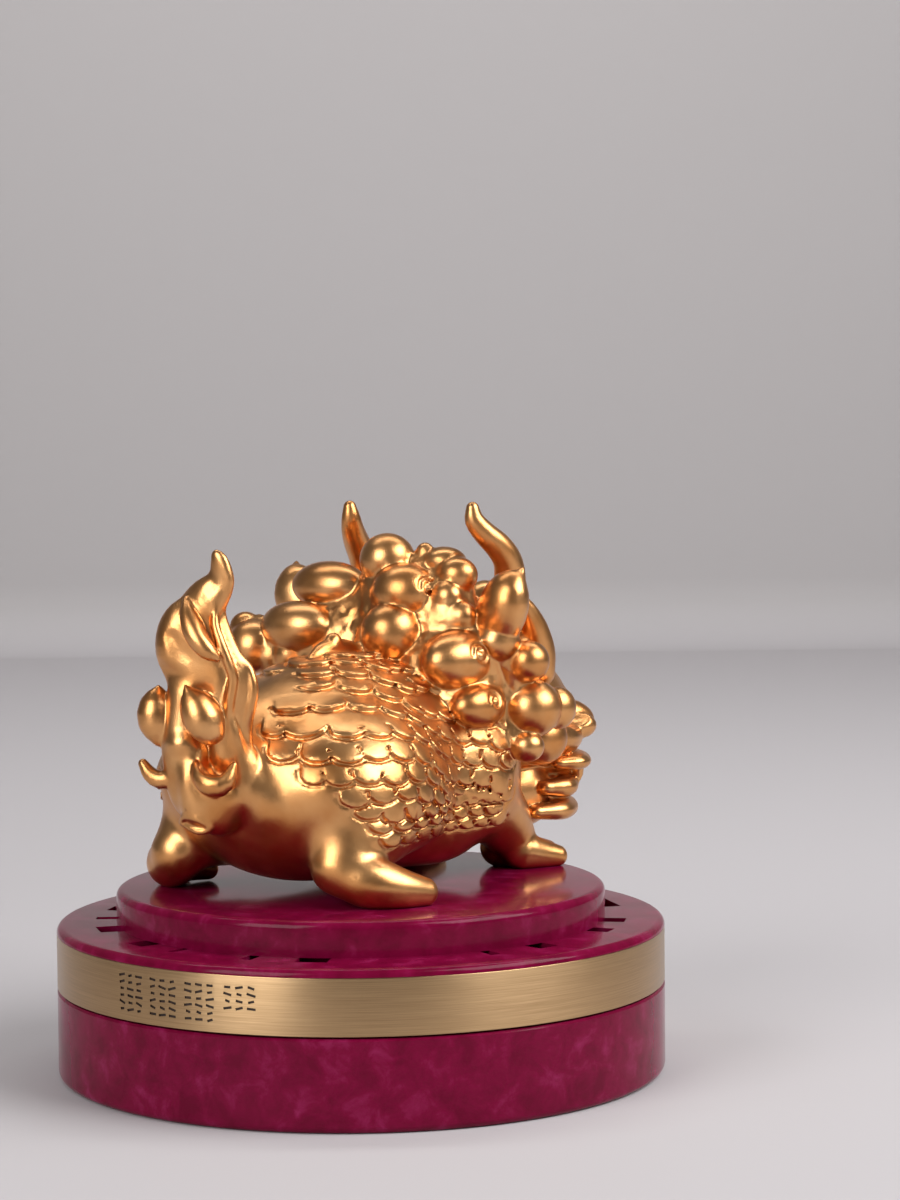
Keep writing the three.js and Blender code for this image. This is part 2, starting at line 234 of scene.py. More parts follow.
def relief(clay, cut, points, grain, height, seed):
    """A lumpy cast skin: smooth random heights on a lattice of the given grain, pushed into the clay."""
    random = np.random.default_rng(seed)
    places = [axis.ravel() / grain for axis in points]
    base = [np.floor(p.min()) for p in places]
    counts = [int(np.ceil(p.max()) - b) + 2 for p, b in zip(places, base)]
    heights = random.uniform(-1, 1, counts).astype(np.float32)
    for axis, (place, start) in enumerate(zip(places, base)):
        index = np.floor(place - start).astype(int)
        share = (place - start - index).astype(np.float32)
        share = share * share * (3 - 2 * share)
        share = share.reshape([-1 if i == axis else 1 for i in range(3)])
        heights = heights.take(index, axis) * (1 - share) + heights.take(index + 1, axis) * share
    clay.depth[cut] += heights * height


def mirrored(points, side):
    """Points given for the beast's left, kept for side 1 and moved to its right for side -1."""
    return [(x, y * side, z) for x, y, z in points]


# The beast's body

TRUNK_AT = (-1.0, 0.0, 17.9)
TRUNK_HALF = (26.0, 18.0, 16.3)
# The left hind foot stands a little farther back and in than the right one's mirror image
LEFT_FOOT_BACK = 1.4
LEFT_FOOT_IN = 0.8


def model_body(clay):
    mass(clay, TRUNK_AT, TRUNK_HALF)
    mass(clay, (-1, 0, 12.5), (22, 15, 11), blend=2)
    mass(clay, (-13, 0, 15.6), (15, 20.2, 13.4), blend=3)
    for side in BOTH_SIDES:
        mass(clay, (-10.5, 12 * side, 16.5), (14, 9.6, 11.2), blend=2)
        mass(clay, (-4.6, 13.2 * side, 12.6), (7.6, 6.8, 6.6), blend=2)
        mass(clay, (8, 8.4 * side, 12), (13, 9, 9.7), blend=2)
        mass(clay, (13, 12.4 * side, 18), (9.5, 7, 12), blend=1.6)
    model_hind_legs(clay)
    model_fore_legs(clay)


def model_hind_legs(clay):
    for side in BOTH_SIDES:
        back = LEFT_FOOT_BACK if side > 0 else 0
        out = -LEFT_FOOT_IN if side > 0 else 0
        thigh = [(-12, 12, 11), (-16.8, 14.2, 8.6), (-19.6 - back, 14.8, 6)]
        foot = [(-19.8 - back, 14.6, 5.4), (-18 - back, 18.6 + out, 3.8), (-15.2 - back, 21.6 + out, 2.7),
                (-11.6 - back, 23.4 + out, 1.9)]
        inner_toe = [(-16 - back, 18.6, 3.2), (-11 - 2 * back, 18.6, 2.2), (-7.4 - 3 * back, 18, 1.7)]
        limb(clay, mirrored(thigh, side), (7.5, 5.8, 4), blend=2.5)
        limb(clay, mirrored(foot, side), (3.5, 3.8, 3.0, 2.1), blend=1.2)
        limb(clay, mirrored(inner_toe, side), (2.8, 2.0, 1.6))


def model_fore_legs(clay):
    for side in BOTH_SIDES:
        leg = [(15, 11, 13), (20.6, 11.4, 9), (25, 11.2, 5)]
        limb(clay, mirrored(leg, side), (7, 5.2, 3.8), blend=2)
        for toe in ([(25.6, 8.6, 2.8), (28.6, 8.2, 2), (31.4, 8.4, 1.5)],
                    [(26, 10.8, 3), (29.8, 11.2, 2.2), (33, 12.2, 1.7)],
                    [(25.6, 13, 2.6), (28.2, 14.4, 2), (30.6, 15.8, 1.5)]):
            limb(clay, mirrored(toe, side), (3, 2.3, 1.7), blend=0.6)


# The scales: rows of overlapping plates from the spine down each flank

# A flank's profile is felt for from outside, at these angles from the spine and towards an axis
PROFILE_ANGLES = np.radians(np.arange(0, 120, 2.0))
PROFILE_DISTANCES = np.arange(34, 3, -0.3)
SCALE_AXIS_HEIGHT = 12.0
# Each row's lower edge as a height over the soles on the rump, from the lowest row up
FLANK_ROWS = (8.9, 10.7, 12.7, 15.1, 17.9, 20.9, 24.2, 27.4, 30.2)
BACK_ROWS = 4
BACK_ROW_PITCH = 4.6
REAR_SCALE = -26.0
FRONT_SCALE = 15.0
REAR_SCALE_WIDTH = 5.0
FRONT_SCALE_WIDTH = 3.5
COLUMN_HEIGHT = 20.0
# The upper rows sink forwards: ever faster over the rump, then evenly up to the shoulders
RUMP_START = -15.0
RUMP_END = -2.0
RUMP_SINKING = 0.025
SHOULDER_SINKING = 0.2
LEVEL_BELOW = 12.0
SINKING_ABOVE = 20.0
# The lower rows start farther forward, by this much for each mm that they lie under the thigh's top
THIGH_TOP = 17.5
THIGH_LEAN = 1.3
# On the flat of the back the rows lean forward
BACK_LEAN = 0.4
SPINE_GAP = 0.8
# How far forward a row counts as running, at the least, for its columns and for its scales
LEAST_COLUMN_COURSE = 0.3
LEAST_SCALE_COURSE = 0.4
# A scale reaches under the one above it, and is never shorter than this
SCALE_OVERLAP = 1.25
LEAST_SCALE_LENGTH = 2.4
# A scale's half width and its root as shares of its width and length, and its lower edge's roundness
SCALE_HALF = 0.54
SCALE_ROOT = 1.35
SCALE_ROUNDNESS = 0.66
# How proud a scale's lower edge stands, how slowly it rises to it and how much it falls to its sides
SCALE_RIM = 0.6
SCALE_RISE = 1.2
SCALE_RISE_POWER = 1.3
SCALE_CROWN = 0.2
# The fine groove around a scale's lower edge
GROOVE_OFFSET = 0.2
GROOVE_HALF_WIDTH = 0.3
GROOVE_DEPTH = 0.2
GROOVE_SHARE = 0.55


def sunk(along):
    """How far the upper rows have sunk towards the shoulders, in mm, and how fast they sink."""
    rump = min(max(along, RUMP_START), RUMP_END) - RUMP_START
    steep = 2 * RUMP_SINKING * rump if along < RUMP_END else SHOULDER_SINKING
    return RUMP_SINKING * rump ** 2 + SHOULDER_SINKING * max(along - RUMP_END, 0), steep


def upper_share(height):
    """How fully a row of this height takes part in the sinking, from 0 to 1."""
    return min(max((height - LEVEL_BELOW) / (SINKING_ABOVE - LEVEL_BELOW), 0), 1)


def skin_profile(body, along, side):
    """The body's skin across one flank, from the spine down, as points and their distances along it."""
    out = np.stack([0 * PROFILE_ANGLES, np.sin(PROFILE_ANGLES) * side, np.cos(PROFILE_ANGLES)], -1)
    points = np.array([along, 0, SCALE_AXIS_HEIGHT]) + PROFILE_DISTANCES[:, None, None] * out
    inside = (body.sample(points.reshape(-1, 3)) < 0).reshape(points.shape[:2])
    skin = points[inside.argmax(0), np.arange(len(PROFILE_ANGLES))]
    steps = np.linalg.norm(np.diff(skin, axis=0), axis=1)
    return skin, np.concatenate([[0], np.cumsum(steps)])


def down_to(profile, height):
    """How far down a profile the skin sinks below a height, or None where it never does."""
    skin, lengths = profile
    below = np.nonzero(skin[:, 2] < height)[0]
    return lengths[below[0]] if len(below) and below[0] else None


def point_at(profile, length):
    """The point of a profile at a distance down it."""
    skin, lengths = profile
    return np.array([np.interp(length, lengths, skin[:, i]) for i in range(3)])


def row_course(out, height, along, side):
    """The direction of a row of scales on the skin, forwards along the level lines of the flank."""
    rising = np.array([upper_share(height) * sunk(along)[1], 0, 1])
    course = side * np.cross(out, rising) + np.array([BACK_LEAN * out[2] ** 2, 0, 0])
    course -= course.dot(out) * out
    return course / np.linalg.norm(course)


def scale_columns(body, side):
    """Places along the body, half a scale apart, that all the rows of a flank share."""
    columns = [REAR_SCALE]
    while columns[-1] < FRONT_SCALE:
        along = columns[-1]
        profile = skin_profile(body, along, side)
        out = body.slope(point_at(profile, down_to(profile, COLUMN_HEIGHT) or 0))
        share = min(max((along - REAR_SCALE) / -REAR_SCALE, 0), 1)
        width = REAR_SCALE_WIDTH + share * (FRONT_SCALE_WIDTH - REAR_SCALE_WIDTH)
        forward = max(row_course(out, COLUMN_HEIGHT, along, side)[0], LEAST_COLUMN_COURSE)
        columns.append(along + 0.5 * width * forward)
    return columns


def scale_places(profile, along):
    """The lower edges of a profile's scales: for each its row, distance down, height and length."""
    places = []
    for row, height in enumerate(FLANK_ROWS):
        rear_limit = REAR_SCALE + THIGH_LEAN * max(THIGH_TOP - height, 0)
        length = down_to(profile, height - upper_share(height) * sunk(along)[0])
        if length is not None and along >= rear_limit:
            above = FLANK_ROWS[min(row + 1, len(FLANK_ROWS) - 1)]
            pitch = max(SCALE_OVERLAP * (above - height), LEAST_SCALE_LENGTH)
            places.append((row, length, height, pitch))
    top = down_to(profile, FLANK_ROWS[-1] - sunk(along)[0])
    for step in range(1, BACK_ROWS + 1):
        if top is not None and top - step * BACK_ROW_PITCH > SPINE_GAP:
            row = len(FLANK_ROWS) - 1 + step
            places.append((row, top - step * BACK_ROW_PITCH, FLANK_ROWS[-1], BACK_ROW_PITCH))
    return places


def model_scales(clay):
    """The scales of both flanks, laid from the lowest row up, half a scale apart from row to row."""
    body = clay.copy()
    for side in BOTH_SIDES:
        columns = scale_columns(body, side)
        plates = []
        for index in range(1, len(columns) - 1):
            profile = skin_profile(body, columns[index], side)
            for row, length, height, pitch in scale_places(profile, columns[index]):
                if row % 2 == index % 2:
                    plates.append((row, point_at(profile, length), height, pitch,
                                   columns[index + 1] - columns[index - 1]))
        for row, point, height, pitch, spacing in sorted(plates, key=lambda plate: plate[0]):
            out = body.slope(point)
            course = row_course(out, height, point[0], side)
            add_scale(clay, body, point, course, np.cross(out, course) * side,
                      spacing / max(course[0], LEAST_SCALE_COURSE), pitch)


def add_scale(clay, body, tip, course, down, width, pitch):
    """One plate that lies on the skin, flush at its root and proud at its rounded lower edge."""
    reach = 1.1 * max(width, pitch) + 0.6
    middle = tip - 0.5 * pitch * down
    cut, axes = clay.window(middle - reach, middle + reach)
    offset = [axis - value for axis, value in zip(axes, tip)]
    across = sum(o * c for o, c in zip(offset, course))
    below = sum(o * d for o, d in zip(offset, down))
    half = SCALE_HALF * width
    curve = SCALE_ROUNDNESS * half
    edge = np.sqrt((across / half) ** 2 + (np.maximum(below + curve, 0) / curve) ** 2)
    outline = (edge - 1) * curve
    root = -below - SCALE_ROOT * pitch
    rise = np.clip(1 + below / (SCALE_RISE * pitch), 0, 1)
    height = SCALE_RIM * rise ** SCALE_RISE_POWER * (1 - SCALE_CROWN * (across / half) ** 2)
    skin = body.depth[cut]
    groove = np.maximum(np.abs(outline - GROOVE_OFFSET) - GROOVE_HALF_WIDTH, np.abs(skin) - GROOVE_DEPTH)
    grooved = np.maximum(clay.depth[cut], -groove)
    clay.depth[cut] = np.where(below > -GROOVE_SHARE * pitch, grooved, clay.depth[cut])
    plate = np.maximum(np.maximum(skin - height, outline), root)
    clay.join(cut, plate, 0.1)


# The head, the horns and the mane

HEAD_TURN = -20.0
HEAD_PIVOT = 14.0


def in_head(point):
    """A point of the head's own frame, which is turned a little about the middle of the ruff."""
    forward, left, up = point
    c, s = math.cos(math.radians(HEAD_TURN)), math.sin(math.radians(HEAD_TURN))
    return (forward * c - left * s + HEAD_PIVOT, forward * s + left * c, up)


def head_mass(clay, at, half, **options):
    mass(clay, in_head(at), half, turn=HEAD_TURN, **options)


def head_limb(clay, points, radii, **options):
    limb(clay, [in_head(point) for point in points], radii, **options)


# The mane's curls, each a place and half sizes: those of the top and the left edge as seen from the
# beast's right, then those of its right side, which its left side repeats

CROWN_CURLS = (
    ((9, 10.9, 43.4), (4.2, 6.8, 3.8)), ((4, 13.2, 37.4), (4, 6.5, 3.9)),
    ((3.5, 21.8, 34), (3.9, 4.4, 4.2)), ((10, 0.3, 47.6), (4.1, 4.3, 4)),
    ((8, -4.4, 42.9), (4.4, 5.2, 4.3)), ((5, -4.4, 37), (4.6, 4.6, 4.5)),
    ((13, -8.2, 47.4), (3, 3.6, 2.2)), ((12, -11.4, 45.4), (2.9, 3.3, 2.8)),
    ((9.6, -11.4, 42.2), (2.2, 2.6, 2.5)), ((10, -13.7, 39.4), (2.2, 2.6, 2.4)),
    ((4.4, 24.2, 36.8), (2.3, 2.6, 2.5)), ((12, -5.4, 48.8), (1.3, 1.4, 1.4)),
)
SIDE_CURLS = (
    ((8, -14.6, 33.1), (6.6, 4.5, 4.4)), ((9, -17.5, 26.4), (5, 3.3, 3.3)),
    ((12.6, -18.6, 35.8), (3.3, 3.3, 3)), ((16, -21.7, 32.7), (3.1, 3.1, 3.1)),
    ((18, -20.9, 25.5), (4.3, 4.3, 4.3)), ((16, -21.2, 20), (2.5, 2.7, 2.4)),
    ((22, -22.6, 25.3), (3, 2.6, 3.2)),
)
# The fringe over the brow, in the head's own frame
FRINGE_FORWARD = 12.5
FRINGE_HEIGHT = 27.0
FRINGE_REACH = 14.0
FRINGE_ANGLES = (-60, -36, -12, 12, 36, 60)
FRINGE_CURL = (3.4, 3.5, 3.3)
# The curls that show the small whorl that they end in, the side that it faces and its size
WHORLS = (
    (SIDE_CURLS[0], (0.05, -1, 0.27), 2.1), (SIDE_CURLS[1], (0.12, -1, 0.3), 1.5),
    (CROWN_CURLS[4], (-0.03, -1, 0.23), 1.8),
)
WHORL_TURNS = 1.3
WHORL_TIGHTENING = 0.75
WHORL_POINTS = 14
WHORL_GROOVE = 0.36
# The grain, the height and the random seed of the coarse and the fine lumps between the curls
RUFF_LUMPS = ((1.3, 0.16, 5), (0.6, 0.08, 6))
HEAD_CENTRE = np.array([15.0, 0.0, 28.0])


def model_ruff(clay):
    """The rough ground that the mane's curls grow from, swollen under each curl."""
    ground = Clay(clay.low, clay.high, clay.step)
    mass(ground, (11, 0.5, 29), (7, 19, 14), blend=0.5)
    mass(ground, (14, 0, 36), (8.4, 14.6, 9.8), blend=1)
    mass(ground, (20, 0, 26), (13, 17.5, 13.5), blend=1)
    for at, half in all_curls():
        inward = HEAD_CENTRE - at
        inward /= np.linalg.norm(inward)
        size = np.array(half)
        mass(ground, np.array(at) + 0.85 * size.mean() * inward, 0.92 * size + 0.2, blend=3.5)
    cut, points = ground.window(clay.low, clay.high)
    for grain, height, seed in RUFF_LUMPS:
        relief(ground, cut, points, grain, height, seed)
    clay.join(cut, ground.depth, 0.6)


def model_face(clay):
    """The skull, the snout and the jaw, then the cheeks, the sunk eyes and the brows."""
    head_mass(clay, (15, 0, 24), (12, 12.5, 10), blend=2)
    head_mass(clay, (21.5, 0, 19.2), (9.2, 8.4, 4.6), blend=1.5)
    head_mass(clay, (18.4, 0, 11), (8.4, 6, 6.2), blend=1)
    head_mass(clay, (20.5, 0, 31), (4, 4.4, 3.6), blend=1.5)
    model_mouth(clay)
    model_nose(clay)
    for side in BOTH_SIDES:
        head_mass(clay, (17, 10.4 * side, 20), (4.6, 4.2, 4.2), blend=1)
        head_mass(clay, (27, 6.2 * side, 23.3), (3.4, 4.2, 2.6), blend=0.5, carve=True)
        head_mass(clay, (22.6, 6.1 * side, 23.2), (2.9, 2.8, 2.1), blend=0.2)
        head_mass(clay, (25.6, 6.4 * side, 23.3), (0.8, 0.8, 0.8), blend=0.2, carve=True)
        brow = mirrored([(26.2, 1.8, 25.2), (25, 4.2, 26), (23, 7.6, 25.9), (20.4, 10.2, 24.8)], side)
        head_limb(clay, brow, (0.9, 1.2, 1.2, 0.7), blend=0.4)


# The upper lip, the lower lip and the chin: the height and half thickness of each, how far its bow
# reaches forward, half its width and where its corners end
LIPS = ((15.5, 1.4, 29.6, 7.3, 23), (11.7, 1.85, 27.5, 6.6, 21), (8.1, 1.7, 27.8, 6.6, 19.2))
LIP_RADII = (1.5, 2.0, 2.2, 2.0, 1.5)


def model_mouth(clay):
    """Lips as horseshoes round the snout, with fangs between them, and the slab of the chin."""
    for height, half_height, front, wide, corner in LIPS:
        cheek = 0.45 * corner + 0.55 * front
        bow = [(corner, -wide, height), (cheek, -0.94 * wide, height), (front, 0, height),
               (cheek, 0.94 * wide, height), (corner, wide, height)]
        head_limb(clay, bow, LIP_RADII, blend=0.3, flat=(0, 0, 1), thin=LIP_RADII[2] / half_height)
        core = ((front - corner) / 2 + 1.5, wide - 0.4, half_height - 0.25)
        head_mass(clay, ((corner + front) / 2 - 1, 0, height), core, blend=0.5)
    head_mass(clay, (24.6, 0, 13.6), (4.2, 5.6, 1.8), blend=0.4)
    head_mass(clay, (24, 0, 9.9), (4, 5.6, 1.6), blend=0.4)
    for side in BOTH_SIDES:
        fang = mirrored([(27.8, 4.9, 14.8), (28, 5, 13.4), (27.8, 5, 12)], side)
        head_limb(clay, fang, (1.1, 0.8, 0.3), blend=0.2)
        inner = mirrored([(29.3, 2.2, 14.8), (29.4, 2.2, 13.6)], side)
        head_limb(clay, inner, (0.8, 0.5), blend=0.2)


def model_nose(clay):
    head_limb(clay, [(22, 0, 27.2), (26.2, 0, 24), (29.6, 0, 21.8)], (2.6, 2.3, 2.8), blend=1.5)
    head_mass(clay, (30.7, 0, 21), (3.1, 3.4, 3), blend=0.6)
    for side in BOTH_SIDES:
        head_mass(clay, (29.4, 3.7 * side, 20.7), (2.6, 2.2, 2), blend=0.3)
        head_mass(clay, (32.6, 2.2 * side, 18.8), (1, 0.9, 0.9), blend=0.4, carve=True)


def model_horns(clay):
    for side in BOTH_SIDES:
        horn = [(19.4, 11, 35.5), (22, 12.6, 39.6), (22.6, 13, 41.5), (21.8, 13.9, 44.8), (20.8, 14.2, 47.4),
                (19, 13.8, 49.6), (17, 12.9, 51.5), (15.6, 12.1, 53.4), (15.2, 12, 55.3)]
        limb(clay, mirrored(horn, side), (2.2, 2.6, 2.6, 2.4, 2.2, 2.05, 1.8, 1.5, 1))


def model_ears(clay):
    """Each ear is a leaf with a full root, hollowed in front of a thin rim."""
    for side in BOTH_SIDES:
        across = (1, 0.4 * side, 0)
        leaf = [(13.8, 16.6, 36.8), (13, 18.6, 39.4), (12.6, 20, 41.6), (12.8, 20.9, 43.5),
                (13.4, 21.6, 44.9), (14.2, 22.2, 46.6)]
        limb(clay, mirrored(leaf, side), (3.4, 4.3, 4.2, 2.9, 1.5, 0.3), blend=0.6, flat=across, thin=1.3)
        hollow = [(16.6, 20, 38), (16, 21, 41), (15.4, 21.6, 43.6)]
        limb(clay, mirrored(hollow, side), (1.2, 2.2, 0.8), blend=0.6, carve=True)


def flipped(curls):
    return [((at[0], -at[1], at[2]), half) for at, half in curls]


def fringe_curls():
    """The curls in an arch over the brow."""
    places = []
    for angle in np.radians(FRINGE_ANGLES):
        at = (FRINGE_FORWARD, FRINGE_REACH * math.sin(angle), FRINGE_HEIGHT + FRINGE_REACH * math.cos(angle))
        places.append((in_head(at), FRINGE_CURL))
    return places


def all_curls():
    return [*CROWN_CURLS, *SIDE_CURLS, *flipped(SIDE_CURLS), *fringe_curls()]


def model_mane(clay):
    """The curls with their whorls, a lock before each ear, the beard and a lock down the neck."""
    for at, half in all_curls():
        mass(clay, at, half, blend=0.35)
    for side in BOTH_SIDES:
        lock = [(23.6, 18.2, 30.4), (23.5, 18.2, 33.6), (22, 18.3, 37.2), (20, 18.4, 40.4), (18.6, 18.6, 42)]
        limb(clay, mirrored(lock, side), (2.2, 2.3, 2, 1.2, 0.4), blend=0.4)
    for at, radius in (((26, 12, 17), 3.2), ((27, 10.5, 13.5), 2.8), ((26.5, 8.5, 10.5), 2.4)):
        mass(clay, at, (radius, radius, radius), blend=0.35)
    neck_lock = [(4, 1.5, 33.6), (0, 1.2, 34.7), (-4, 1, 34.8), (-7.6, 0.6, 33.8)]
    limb(clay, neck_lock, (1.6, 1.5, 1.3, 0.5), blend=0.5)
    mass(clay, (-2, 1, 35.9), (1.3, 1.3, 1.3), blend=0.4)
    for (at, half), toward, size in WHORLS:
        for side in BOTH_SIDES:
            mirror = np.array((1, side, 1))
            model_whorl(clay, mirror * at, np.array(half), mirror * toward, size)


def model_whorl(clay, at, half, toward, size):
    """A spiral groove where a curl ends, laid over the curl's surface."""
    toward = toward / np.linalg.norm(toward)
    level = np.cross(toward, (0, 0, 1))
    level /= np.linalg.norm(level)
    upward = np.cross(level, toward)
    path = []
    for share in np.linspace(0, 1, WHORL_POINTS):
        turn = share * WHORL_TURNS * math.tau
        reach = size * (1 - WHORL_TIGHTENING * share)
        point = toward * half + reach * (math.cos(turn) * level + math.sin(turn) * upward)
        path.append(at + point / np.linalg.norm(point / half))
    limb(clay, path, [WHORL_GROOVE] * len(path), blend=0.1, carve=True)


# The tail: a flame over two buds, with a pair of crescents and a rounded root

def model_tail(clay):
    back = (1.0, 0, 0)
    core = [(-27, 1, 13.5), (-30, 2.6, 16), (-31.2, 3, 19.4), (-31.6, 3.3, 23.4), (-31.4, 2.8, 28.7),
            (-31, 2.4, 34.3)]
    limb(clay, core, (3.6, 3.8, 3.6, 3.4, 3.2, 3.2), blend=1)
    flame = [(-31, 2.3, 33.5), (-31, 2.6, 36.5), (-31, 2.2, 39.2), (-31, 1.0, 41.6), (-31, -0.4, 43.4),
             (-30.5, -1.9, 45.1), (-30.5, -2.9, 47), (-31, -3.1, 48.8), (-31.4, -2.9, 49.8)]
    limb(clay, flame, (4.6, 5, 4.4, 3.7, 3.2, 2.5, 2, 1.5, 0.9), flat=back, thin=1.7)
    model_flame_folds(clay, back)
    model_ribbon(clay)
    model_buds(clay)
    model_crescents(clay)
    limb(clay, [(-27.6, -3.6, 19.5), (-26.4, -4.4, 17), (-24.5, -5.8, 14.6)], (2.4, 3.2, 3.4), blend=2)


def model_flame_folds(clay, back):
    """The full left leaf of the flame, its sharp turned-over fold and the hooked tip."""
    leaf = [(-32, 2.9, 43), (-32, 3.4, 41), (-32, 3.8, 38.8), (-31.8, 3.9, 36.4), (-31.4, 3.8, 34.2),
            (-31, 3.4, 32.6)]
    limb(clay, leaf, (0.7, 2.4, 3.4, 3.7, 3.1, 2.2), blend=0.6, flat=back, thin=1.15)
    hollow = [(-35.2, 2.6, 38.4), (-35.6, 1, 36.2), (-35.4, -1.2, 34.8), (-34, -3.4, 34.8)]
    limb(clay, hollow, (0.7, 1.6, 1.9, 1.3), blend=1.2, carve=True)
    fold = [(-33, 1.6, 43.6), (-33.9, 0.2, 41.2), (-34.2, -1.4, 38.8), (-33.9, -3.1, 36.8),
            (-33.2, -4.4, 35.6)]
    limb(clay, fold, (0.5, 1.3, 1.6, 1.3, 0.5), blend=0.5)
    crease = [(-34.4, 2.2, 42.2), (-35.4, 1.4, 40), (-35.6, 0.2, 37.8), (-35.2, -1.6, 35.8)]
    limb(clay, crease, (0.3, 0.5, 0.6, 0.4), blend=0.3, carve=True)
    groove = [(-33.2, -1.4, 44.2), (-33.6, -2.6, 42), (-33.8, -3.7, 39.8), (-33.4, -4.8, 38)]
    limb(clay, groove, (0.4, 0.8, 0.9, 0.5), blend=0.6, carve=True)
    underside = [(-34.8, 5.2, 33.6), (-35.2, 1.4, 32.8), (-34.8, -2.6, 33.2)]
    limb(clay, underside, (0.7, 1.1, 0.8), blend=1.5, carve=True)
    mass(clay, (-33, -2.6, 45.8), (0.9, 0.8, 1.2), blend=1, carve=True)


def model_ribbon(clay):
    """The thin twisted ribbon down the flame's right side, between two raised edges."""
    outer = [(-30.9, -4.2, 48), (-30.6, -4.6, 46.4), (-30.4, -4, 44.8), (-30.2, -2.8, 43.2),
             (-29.9, -2, 41.2), (-29.4, -2.6, 38), (-29, -4.8, 35.4), (-28.6, -6.2, 33.8),
             (-28.5, -6.9, 31.2), (-28.5, -6.3, 28.6), (-28, -4.8, 25.4), (-27.6, -4.4, 22.6),
             (-27.4, -4.5, 20.6)]
    inner = [(-31.4, -2.8, 42.8), (-32, -3, 40.4), (-32, -4.1, 37.6), (-31.5, -5.1, 34.6),
             (-31, -5.3, 32.5), (-31, -4.7, 29.7), (-30.5, -4.2, 27.4), (-30, -4.6, 24.7),
             (-29, -4.7, 21.8), (-28.2, -4.5, 18.5)]
    limb(clay, outer, (0.5, 0.6, 0.6, 0.7, 0.7, 0.7, 0.7, 0.7, 0.7, 0.8, 1, 1.2, 1.6), blend=0.5)
    limb(clay, inner, (0.4, 0.6, 0.7, 0.7, 0.7, 0.7, 0.7, 0.8, 1, 1.2), blend=0.5)
    web = [(-30.6, -2.6, 41.6), (-30.5, -3.1, 39.6), (-30.2, -4.4, 36), (-29.4, -5.6, 33), (-29.2, -5.6, 30),
           (-29, -4.6, 26.5), (-28.8, -4.4, 22)]
    limb(clay, web, (0.9, 1.1, 1.4, 1.5, 1.4, 1.2, 1.4), blend=0.4, flat=(0.5, 1, 0), thin=2.2)
    bed = [(-30.2, -0.6, 41.4), (-30, -1, 38), (-29.6, -1.8, 33), (-29.6, -2, 28), (-29, -2.4, 22)]
    limb(clay, bed, (1.8, 2.2, 2.6, 2.4, 2.6), blend=1)


def model_buds(clay):
    """The two pointed buds under the flame and the swelling between them."""
    left = [(-33.2, 6.3, 24.4), (-33.6, 6.9, 26.4), (-33.6, 7, 28.2), (-33.5, 6.8, 29.8), (-33.5, 6.6, 31.2)]
    limb(clay, left, (1.8, 2.7, 2.5, 1.4, 0.3), blend=0.4)
    right = [(-33.2, -2.9, 25.4), (-33.6, -2, 27), (-34, -1.2, 28.8), (-34.6, -0.7, 30.2),
             (-35.2, -0.2, 31.7)]
    limb(clay, right, (2, 2.8, 2.4, 1.3, 0.3), blend=0.4)
    mass(clay, (-33.2, 2.2, 23.4), (2.3, 2.4, 2.1))


def model_crescents(clay):
    """The pair of hooked crescents, the stem between them and the rounded root with its rim."""
    left = [(-32.6, 2.6, 20), (-33.2, 4.2, 18.6), (-34, 6, 18.1), (-34.4, 7.6, 18.8), (-34.6, 8.8, 20.3)]
    limb(clay, left, (0.6, 1.2, 1.3, 1.1, 0.7), blend=0.4)
    right = [(-34, -1.2, 20.4), (-34.2, -2.3, 19), (-34, -4, 18), (-33.2, -5.6, 18.4), (-32.2, -6.4, 20.8)]
    limb(clay, right, (0.7, 1.5, 1.8, 1.4, 0.5), blend=0.4)
    mass(clay, (-33.6, -3.7, 20.4), (1.6, 1.7, 1.3), blend=0.6, carve=True)
    limb(clay, [(-32.6, 1, 22), (-33.2, 0.8, 18), (-32, 0.4, 14)], (1.8, 1.9, 2.4))
    mass(clay, (-29.4, 0, 15.6), (4.4, 5, 4), blend=1.5)
    mass(clay, (-29.4, -0.8, 13.4), (3.8, 3.2, 3.2), blend=1)
    rim = [(-33, 2.9, 12.2), (-33.6, 1.4, 13.3), (-33.6, -0.6, 13.1), (-32.4, -1.9, 11.7),
           (-33, -0.2, 11.1), (-33, 2.9, 12.2)]
    limb(clay, rim, (0.5, 0.65, 0.65, 0.5, 0.5, 0.5), blend=0.3)


# The whole casting

CLAY_LOW = (-40.0, -29.0, -0.6)
CLAY_HIGH = (50.0, 31.0, 58.0)
FINE_STEP = 0.25
MOST_FACES = 190000
PARTS_OF_BEAST = (
    model_body, model_scales, model_tail, model_ruff, model_face, model_horns, model_ears, model_mane,
)


def model_beast():
    """The whole beast in clay, cut off flat under its soles."""
    clay = Clay(CLAY_LOW, CLAY_HIGH, FINE_STEP)
    for model in PARTS_OF_BEAST:
        model(clay)
    floor = clay.low[2] + clay.step * np.arange(clay.depth.shape[2], dtype=np.float32)
    clay.depth = np.maximum(clay.depth, -floor)
    return clay


def outer_skin(points, quads):
    """The clay's one outer skin, without sealed hollows and loose specks."""
    shell = np.arange(len(points))
    while True:
        lowest = shell.copy()
        np.minimum.at(lowest, quads, shell[quads].min(axis=1)[:, None])
        lowest = lowest[lowest]
        if np.array_equal(lowest, shell):
            break
        shell = lowest
    of_quad = shell[quads[:, 0]]
    kept = quads[of_quad == np.bincount(of_quad).argmax()]
    used, index = np.unique(kept, return_inverse=True)
    return points[used], index.reshape(kept.shape)


